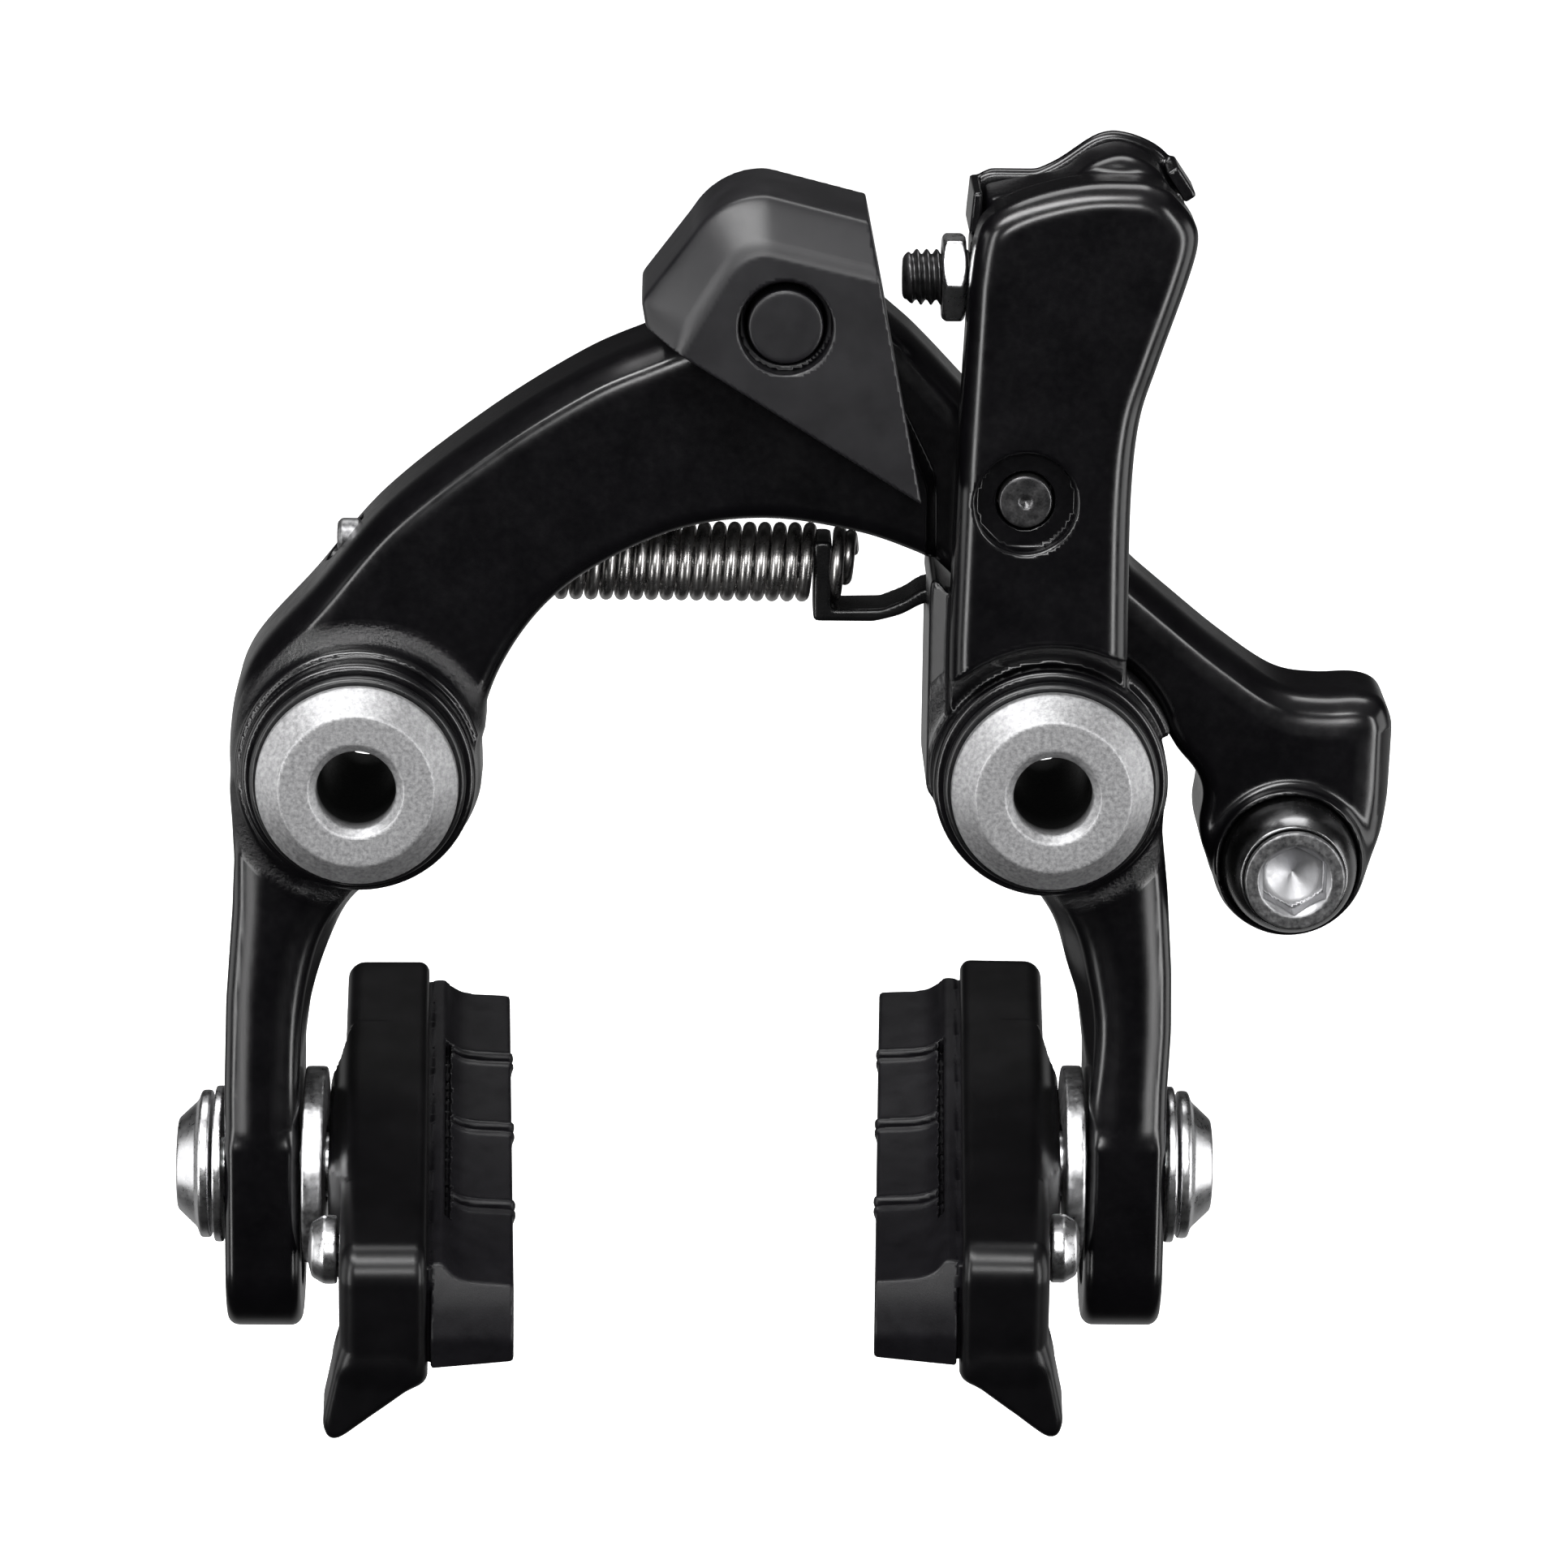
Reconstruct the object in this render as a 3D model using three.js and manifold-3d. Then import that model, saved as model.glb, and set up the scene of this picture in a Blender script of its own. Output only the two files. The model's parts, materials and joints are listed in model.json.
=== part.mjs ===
// Direct-mount dual-pivot rim brake caliper for a bicycle.
//
// Millimetres, +Z up. The mounting plane is y = 0 and the caliper reaches towards +Y, the front of
// the brake. +X runs from the left pivot to the right one. The origin is midway between the two
// mounting holes, on the mounting plane. Outlines are [x, z] pairs unless a comment says otherwise.

import * as THREE from 'three';
import { ConvexGeometry } from 'three/addons/geometries/ConvexGeometry.js';
import { mergeVertices } from 'three/addons/utils/BufferGeometryUtils.js';
import Module from 'manifold-3d';

const wasm = await Module();
wasm.setup();

// ---------------------------------------------------------------- driving dimensions

const PIVOT_X = 28;           // half of the 56 mm between direct-mount bolts
const FIT_GAP = 0.3;          // air between pieces that touch in the real brake
const ROUND = 32;             // facets on a turned piece
const FINE_ROUND = 16;        // facets on a small turned piece

const BORE_R = 3.2;           // clearance for an M6 mounting bolt
const SLEEVE_R = 6;           // bush sleeve that the arm turns on
const SLEEVE_END_Y = 24;
const BOSS_BORE_R = 6.12;
const BOSS_R = 9.5;
const BOSS_REAR_Y = 4.2;
const ARM_FRONT_Y = 21;

const LEFT_REAR_Y = 8;        // rear face of the curved left arm
const CROSSING_Y = 10.3;      // rear face of the left arm where it passes the upright
const UPRIGHT_REAR_Y = 3;
const UPRIGHT_FRONT_Y = 9.6;
const WEB_REAR_Y = 6.2;

const ROLLER = { x: 25.4, z: 23.5, radius: 4, pinRadius: 2.15, travel: [4.7, -5.9], pocketY: 17.4 };
const CAM_PIN = { x: 6, z: 38, radius: 3 };
const CAM_BLOCK = { faceY: 1, bevelY: 3.7, frontY: 16 };
const ANCHOR = { x: 48, z: -7.9, boreRadius: 2.8 };
const LIMIT_SCREW = { y: 11, z: 40.3, radius: 2.25 };
const STOP = { x: 32.8, y: 22.6, z: 43.6, tilt: 14 };
const COVER_SCREW = [25, 41.5];

const SPRING = { y: 19, z: 14.8, coilRadius: 2.75, wireRadius: 0.54, pitch: 1.2, startX: -25, turns: 27 };
const SPRING_CHANNEL_R = 3.9;
const SPRING_CHANNEL_END_X = -26.6;
const SPRING_SCREW = [18, 16.9];         // [y, z] of its axis

const SHOE_Y = 13;            // the pad bolts lie in this plane
const SHOE_LENGTH = 56.4;
const SHOE_HEIGHT = 12.5;
const SHOE_WIDTH = 7;
const SHOE_PITCH = 8.9;       // degrees, front end high
const SHOE_TOE = 1.75;        // degrees, rear ends closer together
const PAD_PROUD = 6.95;       // rubber beyond the holder
const PAD_SCREW = [-15, 0];   // [y, z] in the shoe's own axes
const GROOVES_Y = [-13, 1, 14];
const LEG_WIDTH_Y = 13;
const LEG_END_BELOW_BOLT = 13.8;

// One side of the brake. armOuter and armInner are the X faces of the leg at its slot.
const LEFT = { sign: -1, boltZ: -35.7, armOuter: -39.3, armInner: -33.05, holderOuter: -29.65 };
const RIGHT = { sign: 1, boltZ: -35.1, armOuter: 38.4, armInner: 31.9, holderOuter: 28.65 };

// ---------------------------------------------------------------- materials

function material(color, roughness, metalness) {
  return new THREE.MeshStandardMaterial({ color, roughness, metalness });
}

const GLOSS_BLACK = material(0x0b0b0d, 0.22, 0.3);
const SATIN_BLACK = material(0x262528, 0.55, 0.4);
const BUSH_STEEL = material(0x9a9a9c, 0.35, 1);
const BRIGHT_STEEL = material(0xc8c8ca, 0.25, 1);
const DARK_STEEL = material(0x3c3c3f, 0.4, 0.9);
const SPRING_STEEL = material(0x8a8886, 0.3, 1);
const RUBBER = material(0x1c1c1e, 0.85, 0);
const SEAL_BLACK = material(0x101011, 0.6, 0);

// ---------------------------------------------------------------- solids

/** Turns a closed BufferGeometry into a Manifold, facing outwards. */
function asSolid(geometry) {
  const bare = geometry.clone();
  bare.deleteAttribute('normal');
  bare.deleteAttribute('uv');
  const merged = mergeVertices(bare, 1e-5);
  const position = merged.getAttribute('position');
  const index = merged.getIndex().array;
  const triangles = [];
  let volume = 0;
  const corner = (i) => new THREE.Vector3().fromBufferAttribute(position, i);
  for (let i = 0; i < index.length; i += 3) {
    const [a, b, c] = [index[i], index[i + 1], index[i + 2]];
    if (a === b || b === c || c === a) continue;
    triangles.push(a, b, c);
    volume += corner(a).dot(corner(b).cross(corner(c)));
  }
  if (volume < 0) {
    for (let i = 0; i < triangles.length; i += 3) {
      [triangles[i], triangles[i + 1]] = [triangles[i + 1], triangles[i]];
    }
  }
  return new wasm.Manifold(new wasm.Mesh({
    numProp: 3,
    vertProperties: new Float32Array(position.array),
    triVerts: new Uint32Array(triangles),
  }));
}

function asGeometry(solid) {
  const mesh = solid.getMesh();
  const geometry = new THREE.BufferGeometry();
  geometry.setAttribute('position', new THREE.BufferAttribute(new Float32Array(mesh.vertProperties), 3));
  geometry.setIndex(new THREE.BufferAttribute(new Uint32Array(mesh.triVerts), 1));
  geometry.computeVertexNormals();
  return geometry;
}

const join = (...solids) => solids.reduce((a, b) => a.add(b));
const cut = (solid, ...tools) => tools.reduce((a, b) => a.subtract(b), solid);

// ---------------------------------------------------------------- outlines

/** Points on one smooth curve through the given points. */
function smooth(points, steps) {
  return new THREE.SplineCurve(points.map(([a, b]) => new THREE.Vector2(a, b)))
    .getPoints(steps)
    .map((p) => [p.x, p.y]);
}

/** Points on an arc, from one angle to another in degrees. */
function arc([cx, cz], radius, from, to, steps) {
  return Array.from({ length: steps + 1 }, (_, i) => {
    const angle = THREE.MathUtils.degToRad(from + ((to - from) * i) / steps);
    return [cx + radius * Math.cos(angle), cz + radius * Math.sin(angle)];
  });
}

/** A rounded rectangle centred on the origin. */
function roundedRectangle(halfWidth, halfHeight, radius, steps = 3) {
  const corners = [[1, 1, 0], [-1, 1, 90], [-1, -1, 180], [1, -1, 270]];
  return corners.flatMap(([sx, sz, from]) => arc(
    [sx * (halfWidth - radius), sz * (halfHeight - radius)], radius, from, from + 90, steps));
}

/** A straight slot with round ends between two points. */
function slotOutline([ax, az], [bx, bz], radius, steps = 8) {
  const heading = THREE.MathUtils.radToDeg(Math.atan2(bz - az, bx - ax));
  return [
    ...arc([bx, bz], radius, heading - 90, heading + 90, steps),
    ...arc([ax, az], radius, heading + 90, heading + 270, steps),
  ];
}

function extrude(points, depth, edge) {
  const shape = new THREE.Shape(points.map(([a, b]) => new THREE.Vector2(a, b)));
  return new THREE.ExtrudeGeometry(shape, {
    depth: depth - 2 * edge,
    bevelEnabled: edge > 0,
    bevelThickness: edge,
    bevelSize: edge,
    bevelOffset: -edge,
    bevelSegments: 2,
    steps: 1,
  });
}

/** A plate with an [x, z] outline between two Y planes. */
function plateY(points, yRear, yFront, edge = 0) {
  return asSolid(extrude(points, yFront - yRear, edge).rotateX(Math.PI / 2).translate(0, yFront - edge, 0));
}

/** A plate with a [y, z] outline between two X planes. */
function plateX(points, xLow, xHigh, edge = 0) {
  const turn = new THREE.Matrix4().makeBasis(
    new THREE.Vector3(0, 1, 0), new THREE.Vector3(0, 0, 1), new THREE.Vector3(1, 0, 0));
  return asSolid(extrude(points, xHigh - xLow, edge).applyMatrix4(turn).translate(xLow + edge, 0, 0));
}

function box([x0, x1], [y0, y1], [z0, z1]) {
  return asSolid(new THREE.BoxGeometry(x1 - x0, y1 - y0, z1 - z0)
    .translate((x0 + x1) / 2, (y0 + y1) / 2, (z0 + z1) / 2));
}

/** Turned about an axis along Y; the profile is [radius, y] and closes on itself. */
function turnedY(profile, [x, z] = [0, 0], facets = ROUND) {
  const closed = [...profile, profile[0]].map(([r, y]) => new THREE.Vector2(Math.max(r, 0), y));
  return asSolid(new THREE.LatheGeometry(closed, facets).translate(x, 0, z));
}

/** Turned about an axis along X; the profile is [radius, x] and closes on itself. */
function turnedX(profile, [y, z] = [0, 0], facets = ROUND) {
  const closed = [...profile, profile[0]].map(([r, x]) => new THREE.Vector2(Math.max(r, 0), x));
  return asSolid(new THREE.LatheGeometry(closed, facets).rotateZ(-Math.PI / 2).translate(0, y, z));
}

const rod = (radius, from, to) => [[0, from], [radius, from], [radius, to], [0, to]];
const ring = (inner, outer, from, to) => [[inner, from], [outer, from], [outer, to], [inner, to]];

/** A regular hexagon by its width across flats, first corner at the given angle. */
function hexagon(acrossFlats, turnDegrees = 0) {
  const radius = acrossFlats / Math.sqrt(3);
  return arc([0, 0], radius, turnDegrees, turnDegrees + 300, 5);
}

/** A 60 degree thread as rings: crests at the full radius and roots below it. */
function threadProfile(radius, from, to, pitch) {
  const depth = 0.6 * pitch;
  const turns = Math.floor((to - from) / pitch);
  const crests = Array.from({ length: turns }, (_, i) => from + (i + 0.5) * pitch);
  return [
    [0, from],
    [radius - depth, from],
    ...crests.flatMap((at) => [[radius, at], [radius - depth, at + pitch / 2]]),
    [radius - depth, to],
    [0, to],
  ];
}

// ---------------------------------------------------------------- pivots

function pivotBush(x) {
  return turnedY([
    [BORE_R + 0.35, 0],
    [6.25, 0],
    [8.18, 1.8],
    [8.18, 2.6],
    [SLEEVE_R, 2.6],
    [SLEEVE_R, SLEEVE_END_Y],
    [BORE_R, SLEEVE_END_Y],
    [BORE_R, 0.35],
  ], [x, 0]);
}

function pivotSeal(x) {
  return turnedY([[6.3, 2.9], [8.5, 2.9], [8.75, 3.2], [8.75, 3.6], [8.5, 3.9], [6.3, 3.9]], [x, 0]);
}

function thrustWasher(x) {
  return turnedY(ring(SLEEVE_R + FIT_GAP, 8.6, ARM_FRONT_Y + FIT_GAP, 21.9), [x, 0]);
}

function bushNut(x) {
  const bore = turnedY(rod(SLEEVE_R + FIT_GAP, 20, 26), [x, 0]);
  const grip = hexagon(15).map(([a, b]) => [a + x, b]);
  return cut(plateY(grip, 22.2, 24.4, 0.4), bore);
}

/** Boss that turns on the sleeve. */
function armBoss(x) {
  return turnedY([
    [0, BOSS_REAR_Y],
    [BOSS_R - 0.7, BOSS_REAR_Y],
    [BOSS_R, BOSS_REAR_Y + 0.7],
    [BOSS_R, ARM_FRONT_Y - 0.6],
    [BOSS_R - 0.6, ARM_FRONT_Y],
    [0, ARM_FRONT_Y],
  ], [x, 0]);
}

const bossBore = (x) => turnedY(rod(BOSS_BORE_R, 0, SLEEVE_END_Y), [x, 0]);

// ---------------------------------------------------------------- slotted legs

/** Leg below a boss: an [x, z] outline cut to a round end, with the slot for the pad bolt. */
function slottedLeg(outline, side) {
  const rear = SHOE_Y - LEG_WIDTH_Y / 2;
  const front = SHOE_Y + LEG_WIDTH_Y / 2;
  const endZ = side.boltZ - LEG_END_BELOW_BOLT;
  const endRadius = LEG_WIDTH_Y / 2 - 0.01;
  const sideView = [
    [rear, 0],
    ...arc([SHOE_Y, endZ + endRadius], endRadius, 180, 360, 10),
    [front, 0],
  ];
  const reach = [Math.min(side.armOuter, side.armInner) - 6, Math.max(side.armOuter, side.armInner) + 12];
  const leg = plateY(outline, rear, front, 1).intersect(plateX(sideView, reach[0], reach[1]));
  const slot = slotOutline([SHOE_Y, side.boltZ + 2.2], [SHOE_Y, side.boltZ - 7.2], 3.2);
  return cut(leg, plateX(slot, reach[0], reach[1]));
}

function leftLeg() {
  return slottedLeg([
    [-38.4, -2],
    [-38.5, -12],
    [-39.1, -20],
    [LEFT.armOuter, -28],
    [LEFT.armOuter, -50.5],
    [LEFT.armInner, -50.5],
    ...smooth([[LEFT.armInner, -26], [-32.3, -21], [-30.9, -16.4], [-28.9, -12.4], [-25.5, -9.8]], 8),
    [-24, -4],
  ], LEFT);
}

function rightLeg() {
  return slottedLeg([
    [37.1, -2],
    [38, -10],
    [38.5, -17],
    [38.6, -22],
    [RIGHT.armOuter, -27],
    [RIGHT.armOuter, -50.5],
    [RIGHT.armInner, -50.5],
    ...smooth([[RIGHT.armInner, -26], [31.2, -21], [30.2, -17.8], [28.9, -13.6], [26.4, -10]], 8),
    [24, -4],
  ], RIGHT);
}

// ---------------------------------------------------------------- left arm

const leftArmOutline = [
  ...smooth([[-38.3, -8], [-38.5, 2], [-37.4, 7.3], [-32.2, 13.9], [-26.4, 20.8]], 14),
  ...smooth([[-26.4, 20.8], [-17.9, 27.7], [-10.2, 32.6], [-5.2, 34.6]], 8).slice(1),
  [0.2, 36.6],
  ...arc([CAM_PIN.x, CAM_PIN.z], 5.8, 180, 20, 10),
  [14.5, 36],
  [18.3, 33.4],
  ...smooth([[35.1, 15.5], [38.2, 12.9], [42.5, 9.4], [47, 6.4], [50.5, 5.8]], 8),
  ...smooth([[53.6, 5.9], [55.7, 5.2], [56.6, 3.1]], 4),
  [56.4, -3],
  [56, -5.8],
  ...arc([48.2, -8.3], 6.2, -10, -170, 12),
  ...smooth([[40.9, -7], [40.6, -5], [40.9, -2.5], [40.2, -0.6], [38.8, 1]], 6),
  ...arc([PIVOT_X, 0], 10.1, 16, 110, 9),
  [22, 13.6],
  ...smooth([
    [17.8, 17.7], [12.4, 19.6], [5, 20.7], [-2, 19.8], [-8.6, 16.8], [-13.3, 13.1], [-16.6, 7.8], [-18, 1.6],
  ], 18),
  ...arc([-PIVOT_X, 0], BOSS_R, -10, -110, 8),
];

/** Fillet that carries the boss up into the arm. */
function leftBossFlare() {
  const profile = [[0, 6.6], [BOSS_R, 6.6], [10.2, 7.1], [11.6, 8.6], [11.6, 12], [0, 12]];
  const flare = turnedY(profile, [-PIVOT_X, 0]);
  return flare.intersect(plateY(leftArmOutline, 5, 12));
}

/** Pocket that the roller runs in as the arms close, down and to the right. */
function rollerPocket() {
  const start = [ROLLER.x - 0.2, ROLLER.z + 0.2];
  const end = [ROLLER.x + ROLLER.travel[0], ROLLER.z + ROLLER.travel[1]];
  return plateY(slotOutline(start, end, ROLLER.radius + 0.55), CROSSING_Y - 1, ROLLER.pocketY);
}

const anchorBore = () => turnedY(rod(ANCHOR.boreRadius, 0, 28), [ANCHOR.x, ANCHOR.z], 24);

function leftArm() {
  const curve = plateY(leftArmOutline, LEFT_REAR_Y, ARM_FRONT_Y, 1.5);
  const body = join(curve, leftBossFlare(), armBoss(-PIVOT_X), leftLeg());
  const crossing = plateY([[13, 60], [60, 60], [60, -30], [19, -30], [17.9, 24], [13, 34]], 0, CROSSING_Y);
  const springChannel = turnedX(rod(SPRING_CHANNEL_R, SPRING_CHANNEL_END_X, 0), [SPRING.y, SPRING.z], 24);
  const springMouth = box(
    [SPRING_CHANNEL_END_X, -2], [SPRING.y, 24], [SPRING.z - SPRING_CHANNEL_R, SPRING.z + SPRING_CHANNEL_R]);
  const springScrewHole = turnedX(
    [[0, -40], [2, -40], [2, -29.4], [1.5, -29.4], [1.5, -25], [0, -25]], SPRING_SCREW, FINE_ROUND);
  return cut(
    body,
    crossing,
    rollerPocket(),
    springChannel,
    springMouth,
    springScrewHole,
    turnedY(rod(CAM_PIN.radius + FIT_GAP, 0, 18), [CAM_PIN.x, CAM_PIN.z], 24),
    anchorBore(),
    bossBore(-PIVOT_X),
  );
}

// ---------------------------------------------------------------- cam block on the left arm

const camBlockOutline = [
  [17, 23.8],
  [12.5, 46.2],
  ...arc([4.3, 41.6], 6.6, 88, 150, 5),
  [-5.5, 39.5],
  [-5.1, 37.4],
];

/** Smaller outline of the flat rear face, inside the bevel. */
const camBlockFace = [
  [17, 23.8],
  [13.4, 42.2],
  ...arc([4.6, 40.2], 4.1, 92, 150, 5),
  [-2.4, 36.2],
];

/** Wedge with a wide bevel round its rear face, cut to sit on the rear and top of the arm. */
function camBlock() {
  const { faceY, bevelY, frontY } = CAM_BLOCK;
  const corners = [
    ...camBlockFace.map(([x, z]) => new THREE.Vector3(x, faceY, z)),
    ...[bevelY, frontY].flatMap((y) => camBlockOutline.map(([x, z]) => new THREE.Vector3(x, y, z))),
  ];
  const armSpace = plateY([
    [-20, 30.6],
    [-5.3, 35.2],
    [-0.4, 37],
    ...arc([CAM_PIN.x, CAM_PIN.z], 6.2, 180, 20, 10),
    [14.7, 36.6],
    [19, 33],
    [19, 10],
    [-20, 10],
  ], LEFT_REAR_Y - FIT_GAP, 24);
  return cut(
    asSolid(new ConvexGeometry(corners)),
    armSpace,
    turnedY(rod(3.8, 0, 2.8), [CAM_PIN.x, CAM_PIN.z], 24),
    turnedY(rod(CAM_PIN.radius + FIT_GAP, 0, 18), [CAM_PIN.x, CAM_PIN.z], 24),
  );
}

function camBlockPin() {
  const { x, z, radius } = CAM_PIN;
  return turnedY([[0, 1.5], [radius - 0.25, 1.5], [radius, 1.75], [radius, 17.6], [0, 17.6]], [x, z], 24);
}

// ---------------------------------------------------------------- spring

/** Close coil along X, whose last turn runs in to the axis, out through the bracket and up. */
class SpringPath extends THREE.Curve {
  getPoint(t, target = new THREE.Vector3()) {
    const { y, z, coilRadius, pitch, startX, turns } = SPRING;
    const hookShare = 0.04;
    const hookLength = 4.2;
    const along = Math.min(t / (1 - hookShare), 1);
    const hook = Math.max((t - 1 + hookShare) / hookShare, 0);
    const angle = along * turns * 2 * Math.PI;
    const radius = coilRadius * Math.max(1 - hook / 0.28, 0);
    const rise = 9 * Math.max(hook - 0.78, 0);
    const x = startX + along * turns * pitch + hookLength * hook;
    return target.set(x, y + radius * Math.sin(angle), z + radius * Math.cos(angle) + rise);
  }
}

function returnSpring() {
  const section = arc([0, 0], SPRING.wireRadius, 0, 288, 4);
  const wire = new THREE.Shape(section.map(([a, b]) => new THREE.Vector2(a, b)));
  const path = new SpringPath();
  path.arcLengthDivisions = 2000;
  return asSolid(new THREE.ExtrudeGeometry(wire, { steps: SPRING.turns * 9, extrudePath: path }));
}

/** Strip bent up at its free end, where the spring hooks on, and let into the right arm. */
function springBracket() {
  const strip = plateY([
    [8.8, 10.4],
    [21, 10.4],
    [21, 11.5],
    [17.4, 11.5],
    ...smooth([[17.4, 14], [16.9, 12.2], [15.6, 11.5]], 4),
    [10.3, 11.5],
    [10.3, 17.1],
    [8.8, 17.1],
  ], 16.4, 21.6);
  return cut(strip, turnedX(rod(1.15, 8, 11.5), [SPRING.y, SPRING.z], FINE_ROUND));
}

function springScrew() {
  return turnedX([
    [0, -31],
    [1.2, -30.9],
    [1.7, -30.4],
    [1.7, -29.7],
    [1.2, -29.7],
    [1.2, -26.2],
    [0, -26.2],
  ], SPRING_SCREW, FINE_ROUND);
}

// ---------------------------------------------------------------- cable anchor

function anchorBolt() {
  const head = turnedY([
    [0, 4],
    [3.75, 4],
    [4.1, 4.35],
    [4.1, 7.6],
    [2.5, 8.6],
    [2.5, 24.6],
    [0, 24.6],
  ], [ANCHOR.x, ANCHOR.z], 24);
  const socket = plateY(hexagon(5, 30).map(([a, b]) => [a + ANCHOR.x, b + ANCHOR.z]), 3, 6.4);
  return cut(head, socket);
}

function anchorWasher() {
  const dome = [[4.2, 7.9], [4.7, 8.2], [5.3, 9.1], [5.5, 9.9], [5.5, 10]];
  const profile = [[ANCHOR.boreRadius, 8.9], ...dome, [ANCHOR.boreRadius, 10]];
  return turnedY(profile, [ANCHOR.x, ANCHOR.z], 24);
}

function clampPlate() {
  const outline = roundedRectangle(5.6, 4.6, 1).map(([a, b]) => [a + ANCHOR.x, b + ANCHOR.z]);
  const cableGroove = turnedX(rod(0.9, 40, 56), [ARM_FRONT_Y + FIT_GAP, ANCHOR.z + 3.4], 12);
  return cut(plateY(outline, ARM_FRONT_Y + FIT_GAP, 22.8, 0.2), cableGroove, anchorBore());
}

function clampNut() {
  const outline = hexagon(8).map(([a, b]) => [a + ANCHOR.x, b + ANCHOR.z]);
  return cut(plateY(outline, 23.1, 25.6, 0.3), anchorBore());
}

// ---------------------------------------------------------------- right arm

const uprightOutline = [
  [19.6, 5],
  [19.6, 12],
  [20, 27],
  [20.6, 41],
  ...smooth([[20.9, 43.6], [21.8, 45.8], [24.6, 47.5], [29.7, 48.8], [34.4, 48.8]], 8),
  ...smooth([[36.4, 48.1], [38.2, 46.4], [38.7, 44.6], [37.9, 41.2], [35.7, 34.5]], 7),
  ...smooth([[34.4, 30], [33.9, 24], [33.9, 15], [34.1, 5]], 5),
];

const webOutline = [
  [18, 16.8],
  [18, -1.5],
  ...arc([PIVOT_X, 0], BOSS_R, 195, 360, 12),
  [37.2, 2],
  ...arc([PIVOT_X, 0], BOSS_R, 15, 108, 7),
  [23.3, 9.4],
  [21.3, 13.2],
];

const headOutline = [
  [20.9, 36.6],
  [20.9, 43.5],
  [22.05, 43.6],
  [22.05, 47],
  ...smooth([[25, 47.6], [28.4, 48.4], [30.4, 49.9], [33, 50.6], [35.6, 49.4], [37, 47.3], [38.2, 45]], 12),
  [38, 41],
  [36.4, 36.6],
];

/** Upright plate, with the step that clears the flange of the bush. */
function upright() {
  const step = turnedY(rod(11.6, 0, WEB_REAR_Y), [PIVOT_X, 0]);
  return cut(plateY(uprightOutline, UPRIGHT_REAR_Y, UPRIGHT_FRONT_Y, 1.1), step);
}

function rightArm() {
  const head = plateY(headOutline, UPRIGHT_FRONT_Y - 1, 16.6, 0.5);
  const web = plateY(webOutline, WEB_REAR_Y, ARM_FRONT_Y, 0.4);
  const body = join(upright(), head, web, armBoss(PIVOT_X), rightLeg());
  const bracketSlot = box([17, 21.4], [16.1, 21.9], [10.1, 11.8]);
  return cut(
    body,
    bracketSlot,
    turnedX(rod(LIMIT_SCREW.radius + FIT_GAP, 15, 28.9), [LIMIT_SCREW.y, LIMIT_SCREW.z], 24),
    turnedY(rod(4, 0, 4.4), [ROLLER.x, ROLLER.z], 24),
    turnedY(rod(ROLLER.pinRadius + FIT_GAP, 0, 12), [ROLLER.x, ROLLER.z], 24),
    turnedY(rod(2.8, 10, 20), [STOP.x, STOP.z], 24),
    turnedY(rod(1.5, 13.9, 20), COVER_SCREW, FINE_ROUND),
    bossBore(PIVOT_X),
  );
}

function rollerPin() {
  return turnedY([[0, 3.8], [1.95, 3.8], [2.15, 4], [2.15, 17.1], [0, 17.1]], [ROLLER.x, ROLLER.z], 24);
}

function roller() {
  return turnedY([
    [2.25, 10.7],
    [3.7, 10.7],
    [ROLLER.radius, 11],
    [ROLLER.radius, 16.4],
    [3.7, 16.7],
    [2.25, 16.7],
  ], [ROLLER.x, ROLLER.z], 24);
}

function limitScrew() {
  const { y, z, radius } = LIMIT_SCREW;
  return turnedX([[0, 15.4], ...threadProfile(radius, 15.7, 26.1, 0.8).slice(1)], [y, z], 12);
}

function limitNut() {
  const { y, z, radius } = LIMIT_SCREW;
  const outline = hexagon(6.6).map(([a, b]) => [a + y, b + z]);
  return cut(plateX(outline, 18.6, 20.5, 0.25), turnedX(rod(radius + FIT_GAP, 17, 22), [y, z], 24));
}

// ---------------------------------------------------------------- cable stop on the right arm

/** Thin cover over the front of the head, with a lip down its left side and a tab at top right. */
function headCover() {
  const plate = plateY([
    [21.6, 39],
    [21.4, 47.4],
    [22.6, 48],
    ...smooth([[26.4, 48], [28.2, 48.9], [31.2, 50.9], [33.4, 51.1], [36, 50.1], [37.7, 48.5]], 10),
    [38.6, 44.6],
    [36.4, 38.4],
    [33, 37],
    [24, 37],
  ], 16.9, 18.3);
  const lipOutline = [[20.7, 43.9], [21, 47.4], [21.75, 47.4], [21.75, 43.9]];
  const lip = plateY(lipOutline, UPRIGHT_FRONT_Y + FIT_GAP, 18.3);
  const tab = asSolid(new THREE.BoxGeometry(1.1, 5.6, 2.9).rotateY(THREE.MathUtils.degToRad(-34))
    .translate(37.8, 15.5, 47.7));
  const screwHole = turnedY(rod(1.5, 16, 19), COVER_SCREW, FINE_ROUND);
  const stopHole = turnedY(rod(2.8, 16, 19), [STOP.x, STOP.z], 24);
  return cut(join(plate, lip, tab), screwHole, stopHole);
}

function coverScrew() {
  const profile = [[0, 14.2], [1.2, 14.2], [1.2, 18.6], [2.4, 18.6], [2.4, 19.6], [1.8, 20.1], [0, 20.1]];
  return turnedY(profile, COVER_SCREW, FINE_ROUND);
}

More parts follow.
